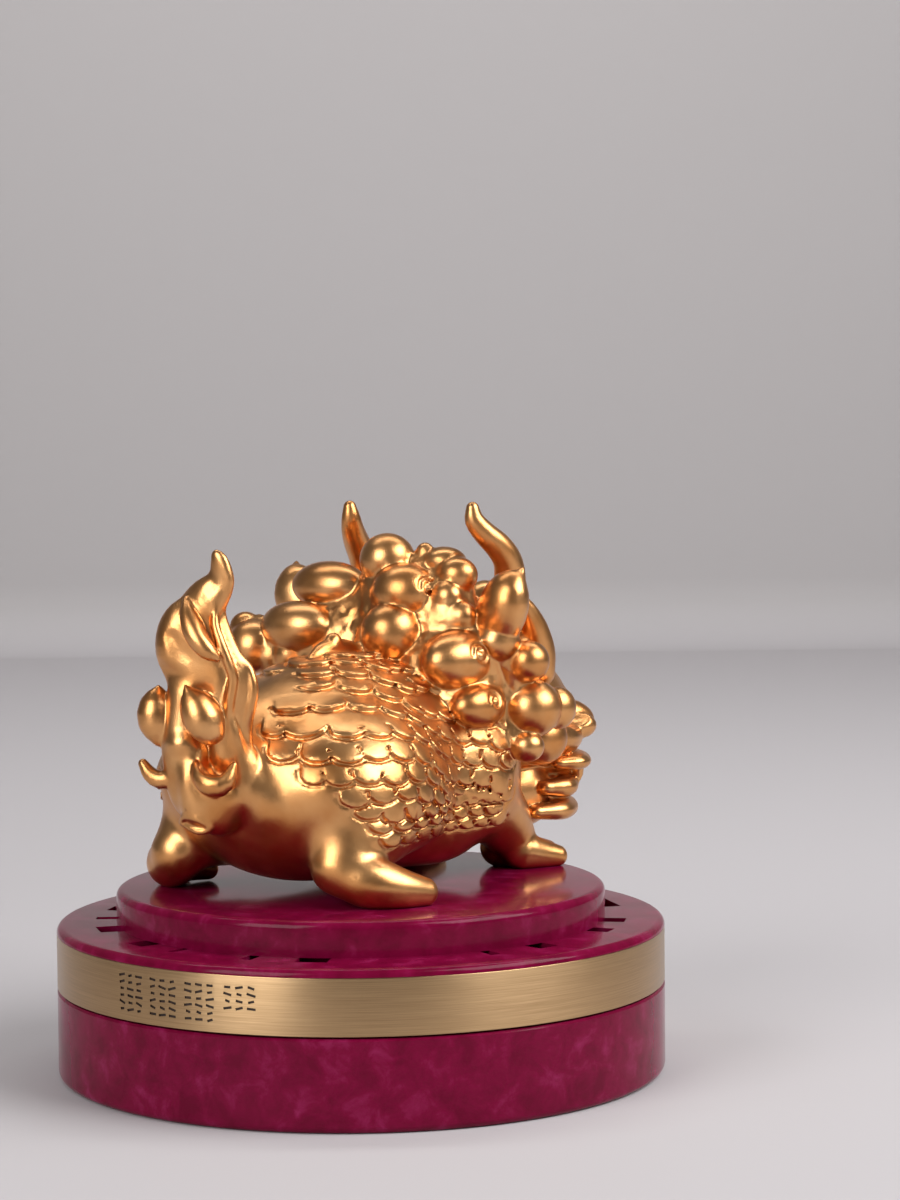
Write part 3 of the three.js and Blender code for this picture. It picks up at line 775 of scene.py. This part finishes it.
def clay_mesh(clay, name, place):
    """The clay's surface as a mesh, at its place on the stand, in metres."""
    grid = openvdb.FloatGrid(1.0)
    grid.copyFromArray(np.clip(clay.depth, -1, 1))
    grid.transform = openvdb.createLinearTransform(voxelSize=clay.step)
    points, quads = outer_skin(*grid.convertToQuads())
    points = (points + clay.low + np.array(place)) * MM
    mesh = bpy.data.meshes.new(name)
    mesh.vertices.add(len(points))
    mesh.vertices.foreach_set("co", points.astype(np.float32).ravel())
    mesh.loops.add(quads.size)
    mesh.loops.foreach_set("vertex_index", quads.astype(np.int32).ravel())
    mesh.polygons.add(len(quads))
    mesh.polygons.foreach_set("loop_start", np.arange(0, quads.size, 4, dtype=np.int32))
    mesh.update(calc_edges=True)
    mesh.validate()
    return mesh


def link(name, mesh):
    piece = bpy.data.objects.new(name, mesh)
    bpy.context.scene.collection.objects.link(piece)
    return piece


def settle(piece):
    """The piece with its modifiers worked into its mesh."""
    graph = bpy.context.evaluated_depsgraph_get()
    mesh = bpy.data.meshes.new_from_object(piece.evaluated_get(graph))
    piece.modifiers.clear()
    old = piece.data
    piece.data = mesh
    bpy.data.meshes.remove(old)
    mesh.name = piece.name
    return piece


# Turned pieces of the stand

TURN_SIDES = 288
ROUNDING_STEPS = 6
# Edges between faces that meet at more than this many degrees are kept sharp
SHARP_FROM = 35.0


def rounded(section):
    """A section of (radius, height, rounding) corners as plain points, with each rounding as an arc."""
    points = []
    for i, (radius, height, rounding) in enumerate(section):
        corner = Vector((radius, height))
        if not rounding:
            points.append(corner)
            continue
        before = (Vector(section[i - 1][:2]) - corner).normalized()
        after = (Vector(section[(i + 1) % len(section)][:2]) - corner).normalized()
        for step in range(ROUNDING_STEPS + 1):
            turn = math.pi / 2 * step / ROUNDING_STEPS
            points.append(corner + rounding * ((1 - math.sin(turn)) * before + (1 - math.cos(turn)) * after))
    return points


def turned(name, section):
    """A piece turned about the drum's axis from a section that runs up its outside and back inside."""
    shape = bmesh.new()
    rings = []
    for point in rounded(section):
        if point.x < 1e-6:
            rings.append([shape.verts.new((0, 0, point.y * MM))])
            continue
        rings.append([shape.verts.new((point.x * MM * math.cos(a), point.x * MM * math.sin(a), point.y * MM))
                      for a in np.arange(TURN_SIDES) * 2 * math.pi / TURN_SIDES])
    for low, high in zip(rings, rings[1:] + rings[:1]):
        if len(low) == len(high) == 1:
            continue
        for i in range(TURN_SIDES):
            j = (i + 1) % TURN_SIDES
            corners = [low[i % len(low)], low[j % len(low)], high[j % len(high)], high[i % len(high)]]
            corners = list(dict.fromkeys(corners))
            if len(corners) > 2:
                shape.faces.new(corners)
    bmesh.ops.recalc_face_normals(shape, faces=shape.faces)
    mesh = bpy.data.meshes.new(name)
    shape.to_mesh(mesh)
    shape.free()
    return link(name, mesh)


def shade(piece):
    piece.data.shade_smooth()
    piece.data.set_sharp_from_angle(angle=math.radians(SHARP_FROM))


def cut_away(piece, cutter):
    """Cuts a closed cutter out of a piece; the cut's walls take the cutter's material."""
    boolean = piece.modifiers.new("Cut", "BOOLEAN")
    boolean.object = cutter
    boolean.solver = "EXACT"
    boolean.material_mode = "TRANSFER"
    settle(piece)
    bpy.data.objects.remove(cutter)


# Materials: a noise's patches are sized in mm, and a ramp's stops are shares of the noise's range

PATINA_DARK = 0x1F120B
PATINA_BROWN = 0x3B2415
# The height over which the table's colour turns into the backdrop's
BACKDROP_CLIMB = 20.0


def feed(tree, node, inputs):
    """Gives a node its inputs, by name or number: each is a value, or the socket that it is linked from."""
    for name, value in inputs.items():
        if isinstance(value, bpy.types.NodeSocket):
            tree.links.new(value, node.inputs[name])
        else:
            node.inputs[name].default_value = value


def add(tree, kind, inputs=None, **settings):
    """Adds a node with its settings and its inputs."""
    node = tree.nodes.new(kind)
    for name, value in settings.items():
        setattr(node, name, value)
    feed(tree, node, inputs or {})
    return node


def ramp(tree, factor, stops):
    """A colour ramp over stops of (position, sRGB hex, plain grey or a colour of the settings)."""
    node = add(tree, "ShaderNodeValToRGB", {"Fac": factor})
    elements = node.color_ramp.elements
    while len(elements) < len(stops):
        elements.new(0.5)
    for element, (position, colour) in zip(elements, stops):
        element.position = position
        if isinstance(colour, int):
            element.color = linear(colour)
        elif isinstance(colour, float):
            element.color = (colour, colour, colour, 1)
        else:
            element.color = (*colour, 1)
    return node.outputs["Color"]


def new_material(name):
    """A material with its node tree, its one shader and the object's own coordinates."""
    material = bpy.data.materials.new(name)
    material.use_nodes = True
    tree = material.node_tree
    tree.nodes.clear()
    shader = add(tree, "ShaderNodeBsdfPrincipled")
    add(tree, "ShaderNodeOutputMaterial", {"Surface": shader.outputs["BSDF"]})
    place = add(tree, "ShaderNodeTexCoord").outputs["Object"]
    return material, tree, shader, place


def noise(tree, place, size, detail=2.0, roughness=0.5, distortion=0.0):
    """Noise whose patches are about the given size in mm."""
    node = add(tree, "ShaderNodeTexNoise", {"Vector": place, "Scale": 1 / (size * MM), "Detail": detail,
                                             "Roughness": roughness, "Distortion": distortion})
    return node.outputs["Fac"]


def bump(tree, height, strength, depth):
    """Fine relief for a shader's normal: its strength from 0 to 1, and its depth in mm."""
    node = add(tree, "ShaderNodeBump", {"Height": height, "Strength": strength, "Distance": depth * MM})
    return node.outputs["Normal"]


def gilt_bronze(settings):
    """Cast bronze with a satin red-gold plating: a warm metal with a soft sheen and a fine cast grain."""
    material, tree, shader, place = new_material("Satin gilt bronze casting")
    patches = ramp(tree, noise(tree, place, 7, 3), [(0.3, settings.gilt), (0.7, settings.gilt_pale)])
    worn = ramp(tree, noise(tree, place, 3, 3), [(0.3, 0.28), (0.7, 0.36)])
    # The casting's grain is about 0.1 mm; it is drawn at 0.22 mm so that the render can show it
    grain = noise(tree, place, 0.22, 2, 0.6)
    feed(tree, shader, {"Base Color": patches, "Metallic": 1, "Roughness": worn,
                        "Normal": bump(tree, grain, 0.35, 0.05)})
    return material


def clouded_stone(settings):
    """Polished cast resin stone: deep magenta with paler milky clouds, under a soft gloss."""
    material, tree, shader, place = new_material("Polished clouded magenta stone")
    tones = [(0.35, settings.stone_dark), (0.55, settings.stone), (0.8, settings.stone_pale)]
    clouds = ramp(tree, noise(tree, place, 4, 5, 0.6, 0.4), tones)
    ripple = noise(tree, place, 14, 2)
    feed(tree, shader, {"Base Color": clouds, "Roughness": 0.14, "IOR": 1.2,
                        "Normal": bump(tree, ripple, 0.1, 0.2)})
    return material


def brushed_brass(settings):
    """Lacquered brass strip brushed along its length, with fine streaks that run round the drum."""
    material, tree, shader, place = new_material("Brushed lacquered brass strip")
    # Brush lines are about 0.05 mm apart; they are drawn at 0.12 mm so that the render can show them
    streaked = add(tree, "ShaderNodeMapping", {"Vector": place, "Scale": (0.01, 0.01, 1)})
    streaks = noise(tree, streaked.outputs["Vector"], 0.12, 3, 0.7)
    colour = ramp(tree, streaks, [(0.25, settings.brass_dark), (0.75, settings.brass)])
    worn = ramp(tree, streaks, [(0.2, 0.3), (0.8, 0.4)])
    feed(tree, shader, {"Base Color": colour, "Metallic": 1, "Roughness": worn,
                        "Normal": bump(tree, streaks, 0.15, 0.02)})
    # The brushing spreads a reflection up and down, across its lines, and keeps it narrow along them
    feed(tree, shader, {"Anisotropic": 0.8, "Anisotropic Rotation": 0.25})
    return material


def stroke_patina():
    """Dark brown patina left in engraved strokes: dull and slightly uneven."""
    material, tree, shader, place = new_material("Dark patina in the engraved strokes")
    colour = ramp(tree, noise(tree, place, 0.8, 2), [(0.3, PATINA_DARK), (0.7, PATINA_BROWN)])
    feed(tree, shader, {"Base Color": colour, "Roughness": 0.55})
    return material


def matt_paper(settings):
    """A pale matt table that runs up into a grey backdrop."""
    material, tree, shader, place = new_material("Pale matt table and backdrop")
    height = add(tree, "ShaderNodeSeparateXYZ", {"Vector": place}).outputs["Z"]
    climb = add(tree, "ShaderNodeMapRange", {"Value": height, "From Min": 0.0,
                                              "From Max": BACKDROP_CLIMB * MM})
    colour = ramp(tree, climb.outputs["Result"], [(0.0, settings.table), (1.0, settings.backdrop)])
    feed(tree, shader, {"Base Color": colour, "Roughness": 0.7})
    return material


# Geometry nodes for what repeats

def node_tree(name, measures, counts=()):
    """An empty geometry tree whose inputs are a geometry, named measures and counts, and a material."""
    tree = bpy.data.node_groups.new(name, "GeometryNodeTree")
    kinds = {"Geometry": "NodeSocketGeometry", **dict.fromkeys(measures, "NodeSocketFloat"),
             **dict.fromkeys(counts, "NodeSocketInt"), "Material": "NodeSocketMaterial"}
    for label, kind in kinds.items():
        tree.interface.new_socket(label, in_out="INPUT", socket_type=kind)
    tree.interface.new_socket("Geometry", in_out="OUTPUT", socket_type="NodeSocketGeometry")
    return tree, add(tree, "NodeGroupInput").outputs, add(tree, "NodeGroupOutput")


def maths(tree, operation, a, b=0.0):
    return add(tree, "ShaderNodeMath", {0: a, 1: b}, operation=operation).outputs["Value"]


def vector(tree, x=0.0, y=0.0, z=0.0):
    return add(tree, "ShaderNodeCombineXYZ", {"X": x, "Y": y, "Z": z}).outputs["Vector"]


def on_ring(tree, radius, around, height):
    """A place at a radius, an angle and a height about the drum's axis."""
    return vector(tree, maths(tree, "MULTIPLY", radius, maths(tree, "COSINE", around)),
                  maths(tree, "MULTIPLY", radius, maths(tree, "SINE", around)), height)


def stamp_boxes(tree, result, points, place, turn, size, material):
    """Puts a turned box at each point, and gives the boxes to the tree's result as real mesh."""
    moved = add(tree, "GeometryNodeSetPosition", {"Geometry": points, "Position": place})
    box = add(tree, "GeometryNodeMeshCube")
    boxes = add(tree, "GeometryNodeInstanceOnPoints", {
        "Points": moved.outputs["Geometry"], "Instance": box.outputs["Mesh"], "Rotation": turn,
        "Scale": size})
    real = add(tree, "GeometryNodeRealizeInstances", {"Geometry": boxes.outputs["Instances"]})
    made = add(tree, "GeometryNodeSetMaterial", {"Geometry": real.outputs["Geometry"], "Material": material})
    feed(tree, result, {"Geometry": made.outputs["Geometry"]})


def attribute(tree, name):
    node = add(tree, "GeometryNodeInputNamedAttribute", {"Name": name}, data_type="FLOAT")
    return node.outputs["Attribute"]


def slot_tree():
    """Boxes in a ring, one for each point, at the point's own angle and as wide as it says."""
    tree, given, result = node_tree("Ring of vent slots", ("Inner radius", "Outer radius", "Low", "High"))
    around = attribute(tree, "around")
    width = attribute(tree, "width")
    inner, outer = given["Inner radius"], given["Outer radius"]
    low, high = given["Low"], given["High"]
    middle = maths(tree, "MULTIPLY", maths(tree, "ADD", inner, outer), 0.5)
    level = maths(tree, "MULTIPLY", maths(tree, "ADD", low, high), 0.5)
    size = vector(tree, maths(tree, "SUBTRACT", outer, inner), maths(tree, "MULTIPLY", middle, width),
                  maths(tree, "SUBTRACT", high, low))
    stamp_boxes(tree, result, given["Geometry"], on_ring(tree, middle, around, level),
                vector(tree, z=around), size, given["Material"])
    return tree


def grown(tree, name, start, values):
    """A new object that is the tree's result on a starting mesh, as plain mesh."""
    piece = link(name, start)
    modifier = piece.modifiers.new("Nodes", "NODES")
    modifier.node_group = tree
    for item in tree.interface.items_tree:
        if item.item_type == "SOCKET" and item.in_out == "INPUT" and item.name in values:
            modifier[item.identifier] = values[item.name]
    return settle(piece)


def points_mesh(name, **attributes):
    """Loose points that carry named numbers."""
    mesh = bpy.data.meshes.new(name)
    count = len(next(iter(attributes.values())))
    mesh.vertices.add(count)
    for key, values in attributes.items():
        mesh.attributes.new(key, "FLOAT", "POINT").data.foreach_set("value", values)
    return mesh


# The inscription's place on the band: rows of short strokes in four groups, none of them a letter
STROKE_MIDDLE = math.radians(-173.5)
STROKE_GROUPS = 4
STROKES_ACROSS = 3
STROKE_ROWS = 6
GROUP_PITCH = 6.2
STROKE_PITCH = 1.75
STROKE_ROW_PITCH = 0.95
STROKE_LENGTH = 1.5
STROKE_WIDTH = 0.34
STROKE_DEPTH = 0.2
SHORTEST_STROKE = 0.45
STROKE_SLANT = 0.32
KEPT_STROKES = 0.86
STROKE_SEED = 11


def stroke_tree():
    """Short bars on the band's face in groups and rows, with random lengths, slants and gaps."""
    tree, given, result = node_tree(
        "Rows of engraved strokes",
        ("Group pitch", "Stroke pitch", "Row pitch", "Length", "Width", "Depth", "Radius", "Middle angle",
         "Middle height"),
        ("Groups", "Across", "Rows", "Seed"))
    across, rows, groups = given["Across"], given["Rows"], given["Groups"]
    in_group = maths(tree, "MULTIPLY", across, rows)
    count = maths(tree, "MULTIPLY", in_group, groups)
    index = add(tree, "GeometryNodeInputIndex").outputs["Index"]
    group = maths(tree, "FLOOR", maths(tree, "DIVIDE", index, in_group))
    rest = maths(tree, "MODULO", index, in_group)
    row = maths(tree, "FLOOR", maths(tree, "DIVIDE", rest, across))
    column = maths(tree, "MODULO", rest, across)

    def centred(number, many, pitch):
        middle = maths(tree, "MULTIPLY", maths(tree, "SUBTRACT", many, 1), 0.5)
        return maths(tree, "MULTIPLY", maths(tree, "SUBTRACT", number, middle), pitch)

    def chance(low, high, shift):
        seed = maths(tree, "ADD", given["Seed"], shift)
        span = {2: low, 3: high, "ID": index, "Seed": seed}
        return add(tree, "FunctionNodeRandomValue", span, data_type="FLOAT").outputs[1]

    run = maths(tree, "ADD", centred(group, groups, given["Group pitch"]),
                centred(column, across, given["Stroke pitch"]))
    around = maths(tree, "ADD", given["Middle angle"], maths(tree, "DIVIDE", run, given["Radius"]))
    height = maths(tree, "SUBTRACT", given["Middle height"], centred(row, rows, given["Row pitch"]))
    length = maths(tree, "MULTIPLY", given["Length"], chance(SHORTEST_STROKE, 1.0, 1))
    size = vector(tree, maths(tree, "MULTIPLY", given["Depth"], 2), length, given["Width"])
    points = add(tree, "GeometryNodePoints", {"Count": count})
    missing = maths(tree, "GREATER_THAN", chance(0.0, 1.0, 2), KEPT_STROKES)
    kept = add(tree, "GeometryNodeDeleteGeometry",
               {"Geometry": points.outputs["Points"], "Selection": missing}, domain="POINT")
    turn = vector(tree, chance(-STROKE_SLANT, STROKE_SLANT, 3), 0.0, around)
    stamp_boxes(tree, result, kept.outputs["Geometry"], on_ring(tree, given["Radius"], around, height),
                turn, size, given["Material"])
    return tree


# Vent slots in the lid's rim: each is an angle round the stand and a width, both in degrees
VENT_OUTER = 39.4
VENT_INNER = 33.5
VENT_OVERCUT = 1.0
NEAR_VENTS = (
    (-36.3, 12), (-61, 5.5), (-74.5, 5), (-98.4, 5.5), (-112, 2.5), (-150.2, 7),
    (-164, 2.7), (177.3, 1.6), (165.4, 6), (143.8, 8), (128.5, 3.3), (115, 6),
)
FAR_VENTS = tuple((around + 180, width) for around, width in NEAR_VENTS[2:9])


def finished(piece, material, node):
    """Gives a piece its finish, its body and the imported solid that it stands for."""
    piece.data.materials.clear()
    piece.data.materials.append(material)
    stands_for(piece, node)


def stands_for(piece, node):
    """Puts a piece on the part's one body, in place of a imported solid."""
    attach(piece, "root")
    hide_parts(node)


def colour_setting(name, description, colour):
    return bpy.props.FloatVectorProperty(name=name, description=description, subtype="COLOR", size=3, min=0.0,
                                         max=1.0, default=linear(colour)[:3])


class FinishSettings(bpy.types.PropertyGroup):
    """The colours of the casting, the stone, the band and the stage."""
    gilt: colour_setting("Gilt", "Deeper tone of the plating", 0xCE8C50)
    gilt_pale: colour_setting("Pale gilt", "Paler tone of the plating", 0xE2AA70)
    stone: colour_setting("Stone", "Main colour of the stone", 0x700830)
    stone_dark: colour_setting("Dark stone", "Deepest tone in the stone", 0x600626)
    stone_pale: colour_setting("Pale clouds", "Milky clouds in the stone", 0x8C2250)
    brass: colour_setting("Brass", "Bright brushed brass", 0xCCAA80)
    brass_dark: colour_setting("Dark brass", "Brass between the brush lines", 0xAC8C64)
    table: colour_setting("Table", "Pale table", 0xB8B4B6)
    backdrop: colour_setting("Backdrop", "Grey backdrop", 0xAEAAAA)


class StandSettings(bpy.types.PropertyGroup):
    """The stand's sizes that a user may change."""
    rounding: bpy.props.FloatProperty(
        name="Edge rounding", description="Radius of the stone pieces' outer edges",
        default=EDGE_ROUNDING * MM,
        unit="LENGTH", subtype="DISTANCE")
    stroke_depth: bpy.props.FloatProperty(
        name="Stroke depth", description="How deep the band's strokes are cut", default=STROKE_DEPTH * MM,
        unit="LENGTH", subtype="DISTANCE")


class PIXIU_OT_beast(bpy.types.Operator):
    """Models the cast beast with its scales, mane, horns and tail"""
    bl_idname = "pixiu.beast"
    bl_label = "Beast"

    def execute(self, context):
        mesh = clay_mesh(model_beast(), "pixiu_cast", BEAST_SEAT)
        beast = link("pixiu_cast", mesh)
        thinner = beast.modifiers.new("Thinner mesh", "DECIMATE")
        thinner.ratio = min(1.0, MOST_FACES / (2 * len(mesh.polygons)))
        settle(beast)
        beast.data.shade_smooth()
        finished(beast, gilt_bronze(context.scene.pixiu_finish), "pixiu")
        return {"FINISHED"}


class PIXIU_OT_stand(bpy.types.Operator):
    """Turns the stand's box, its vented lid and the raised disc"""
    bl_idname = "pixiu.stand"
    bl_label = "Stone stand"

    def execute(self, context):
        stone = clouded_stone(context.scene.pixiu_finish)
        rounding = context.scene.pixiu_stand.rounding / MM
        chamfer = JOINT_CHAMFER
        inside = DRUM_RADIUS - BOX_WALL
        box = turned("stone_box", [
            (0, 0, 0), (DRUM_RADIUS, 0, rounding), (DRUM_RADIUS, BOX_TOP - chamfer, 0),
            (DRUM_RADIUS - chamfer, BOX_TOP, 0), (inside, BOX_TOP, 0),
            (inside, BOX_FLOOR, FLOOR_ROUNDING), (0, BOX_FLOOR, 0)])
        spigot = inside - SPIGOT_CLEARANCE
        hollow = spigot - SPIGOT_WALL
        neck = DRUM_RADIUS - BAND_THICKNESS - BAND_CLEARANCE
        underside = LID_TOP - LID_PLATE
        lid = turned("stone_lid", [
            (0, underside, 0), (hollow, underside, HOLLOW_ROUNDING), (hollow, BOX_TOP - SPIGOT_DEPTH, 0),
            (spigot, BOX_TOP - SPIGOT_DEPTH, SPIGOT_ROUNDING), (spigot, BOX_TOP, 0), (neck, BOX_TOP, 0),
            (neck, BAND_HIGH, 0), (DRUM_RADIUS, BAND_HIGH, 0), (DRUM_RADIUS, LID_TOP, rounding),
            (0, LID_TOP, 0)])
        disc = turned("stone_disc", [
            (0, LID_TOP, 0), (DISC_RADIUS, LID_TOP, 0), (DISC_RADIUS, DISC_TOP, rounding), (0, DISC_TOP, 0)])
        for piece in (box, lid, disc):
            piece.data.materials.append(stone)
        vents = NEAR_VENTS + FAR_VENTS
        start = points_mesh("vents", around=[math.radians(a) for a, _ in vents],
                            width=[math.radians(w) for _, w in vents])
        cut_away(lid, grown(slot_tree(), "vent_cutters", start, {
            "Inner radius": VENT_INNER * MM, "Outer radius": VENT_OUTER * MM,
            "Low": (underside - VENT_OVERCUT) * MM, "High": (LID_TOP + VENT_OVERCUT) * MM,
            "Material": stone}))
        for piece, node in ((box, "base_box"), (lid, "lid"), (disc, "top_disc")):
            shade(piece)
            finished(piece, stone, node)
        return {"FINISHED"}


class PIXIU_OT_band(bpy.types.Operator):
    """Turns the brass band and cuts its rows of shallow strokes"""
    bl_idname = "pixiu.band"
    bl_label = "Brass band"

    def execute(self, context):
        brass = brushed_brass(context.scene.pixiu_finish)
        inside = DRUM_RADIUS - BAND_THICKNESS
        band = turned("brass_strip", [
            (inside, BAND_LOW, 0), (DRUM_RADIUS, BAND_LOW, BAND_ROUNDING),
            (DRUM_RADIUS, BAND_HIGH, BAND_ROUNDING), (inside, BAND_HIGH, 0)])
        band.data.materials.append(brass)
        strokes = grown(stroke_tree(), "stroke_cutters", bpy.data.meshes.new("strokes"), {
            "Groups": STROKE_GROUPS, "Across": STROKES_ACROSS, "Rows": STROKE_ROWS,
            "Group pitch": GROUP_PITCH * MM, "Stroke pitch": STROKE_PITCH * MM,
            "Row pitch": STROKE_ROW_PITCH * MM, "Length": STROKE_LENGTH * MM,
            "Width": STROKE_WIDTH * MM, "Depth": context.scene.pixiu_stand.stroke_depth,
            "Radius": DRUM_RADIUS * MM, "Middle angle": STROKE_MIDDLE,
            "Middle height": (BAND_LOW + BAND_HIGH) / 2 * MM, "Seed": STROKE_SEED,
            "Material": stroke_patina()})
        cut_away(band, strokes)
        shade(band)
        stands_for(band, "brass_band")
        return {"FINISHED"}


# The stage: the photograph's camera, a plain table and soft lamps

# The camera's way round the stand in degrees, its place in mm and its small turns in radians
VIEW_TURN = 50.0
CAMERA_AWAY = 443.3172
CAMERA_HEIGHT = 94.4634
CAMERA_PITCH = 0.0567
CAMERA_YAW = 0.0307
CAMERA_ROLL = -0.0091
LENS = 80.0
SENSOR_WIDTH = 24.0
NEAREST_SEEN = 10.0
# The table runs from the front to its end, where it bends up into the backdrop
TABLE_END = 845.0
TABLE_BEND = 30.0
BEND_STEPS = 12
STAGE_HALF_WIDTH = 1600.0
STAGE_FRONT = 900.0
STAGE_HEIGHT = 420.0
# Each lamp's place and aim as the camera sees them, the size of its face and its power in watts
LAMPS = {
    "left softbox": ((-381, -424, 300), (0, 0, 45), (340, 420), 2.7),
    "right softbox": ((475, -211, 470), (0, 0, 45), (540, 420), 5.6),
    "backdrop lamp": ((0, 250, 750), (0, 845, 200), (900, 300), 4.6),
}
ROOM_COLOUR = 0xB4B0B0
ROOM_STRENGTH = 0.26


def from_view(right, away, up):
    """A point given from the camera's side, in mm right of, beyond and above the drum's foot, in metres."""
    c, s = math.cos(math.radians(VIEW_TURN)), math.sin(math.radians(VIEW_TURN))
    return Vector((right * c + away * s, away * c - right * s, up)) * MM


def lamp(name, place, aim, size, watts):
    """A soft rectangular lamp."""
    data = bpy.data.lights.new(name, "AREA")
    data.shape = "RECTANGLE"
    data.size, data.size_y = (length * MM for length in size)
    data.energy = watts
    light = bpy.data.objects.new(name, data)
    light.location = from_view(*place)
    light.rotation_euler = (from_view(*aim) - light.location).to_track_quat("-Z", "Y").to_euler()
    bpy.context.scene.collection.objects.link(light)


class PIXIU_OT_stage(bpy.types.Operator):
    """Sets the camera, the plain table and backdrop, and the soft lamps"""
    bl_idname = "pixiu.stage"
    bl_label = "Stage"

    def execute(self, context):
        self.place_camera(context)
        self.lay_table(context)
        for name, setting in LAMPS.items():
            lamp(name, *setting)
        world = bpy.data.worlds.new("studio")
        world.use_nodes = True
        feed(world.node_tree, world.node_tree.nodes["Background"],
             {"Color": linear(ROOM_COLOUR), "Strength": ROOM_STRENGTH})
        context.scene.world = world
        context.scene.view_settings.view_transform = "Standard"
        return {"FINISHED"}

    def place_camera(self, context):
        data = bpy.data.cameras.new("camera")
        data.sensor_fit = "HORIZONTAL"
        data.sensor_width = SENSOR_WIDTH
        data.lens = LENS
        data.clip_start = NEAREST_SEEN * MM
        camera = bpy.data.objects.new("camera", data)
        context.scene.collection.objects.link(camera)
        aim = Vector((math.sin(CAMERA_YAW) * math.cos(CAMERA_PITCH),
                      math.cos(CAMERA_YAW) * math.cos(CAMERA_PITCH), -math.sin(CAMERA_PITCH)))
        level = Vector((math.cos(CAMERA_YAW), -math.sin(CAMERA_YAW), 0))
        upright = level.cross(aim)
        right = math.cos(CAMERA_ROLL) * level + math.sin(CAMERA_ROLL) * upright
        up = math.cos(CAMERA_ROLL) * upright - math.sin(CAMERA_ROLL) * level
        turn = Matrix.Rotation(-math.radians(VIEW_TURN), 3, "Z")
        stance = turn @ Matrix((right, up, -aim)).transposed()
        camera.matrix_world = Matrix.Translation(from_view(0, -CAMERA_AWAY, CAMERA_HEIGHT)) @ stance.to_4x4()
        context.scene.camera = camera

    def lay_table(self, context):
        flat_end = TABLE_END - TABLE_BEND
        profile = [(-STAGE_FRONT, 0), (flat_end, 0)]
        for step in range(1, BEND_STEPS + 1):
            turn = math.pi / 2 * step / BEND_STEPS
            profile.append((flat_end + TABLE_BEND * math.sin(turn), TABLE_BEND * (1 - math.cos(turn))))
        profile.append((TABLE_END, STAGE_HEIGHT))
        mesh = bpy.data.meshes.new("table")
        corners = [from_view(right, away, up) for away, up in profile
                   for right in (-STAGE_HALF_WIDTH, STAGE_HALF_WIDTH)]
        strips = [(2 * i, 2 * i + 1, 2 * i + 3, 2 * i + 2) for i in range(len(profile) - 1)]
        mesh.from_pydata(corners, [], strips)
        mesh.shade_smooth()
        table = link("table", mesh)
        table.data.materials.append(matt_paper(context.scene.pixiu_finish))


class PIXIU_PT_panel(bpy.types.Panel):
    """Lists the pieces and the settings"""
    bl_idname = "PIXIU_PT_panel"
    bl_label = "Pixiu"
    bl_space_type = "VIEW_3D"
    bl_region_type = "UI"
    bl_category = "Pixiu"

    def draw(self, context):
        for settings in (context.scene.pixiu_finish, context.scene.pixiu_stand):
            for name in settings.__annotations__:
                self.layout.prop(settings, name)
        for maker in MAKERS:
            self.layout.operator(maker.bl_idname)


MAKERS = (PIXIU_OT_beast, PIXIU_OT_stand, PIXIU_OT_band, PIXIU_OT_stage)
CLASSES = (FinishSettings, StandSettings, *MAKERS, PIXIU_PT_panel)


def register():
    for kind in CLASSES:
        bpy.utils.register_class(kind)
    bpy.types.Scene.pixiu_finish = bpy.props.PointerProperty(type=FinishSettings)
    bpy.types.Scene.pixiu_stand = bpy.props.PointerProperty(type=StandSettings)


def unregister():
    del bpy.types.Scene.pixiu_stand
    del bpy.types.Scene.pixiu_finish
    for kind in reversed(CLASSES):
        bpy.utils.unregister_class(kind)


def main():
    register()
    bpy.ops.pixiu.beast()
    bpy.ops.pixiu.stand()
    bpy.ops.pixiu.band()
    bpy.ops.pixiu.stage()


if __name__ == "__main__":
    main()
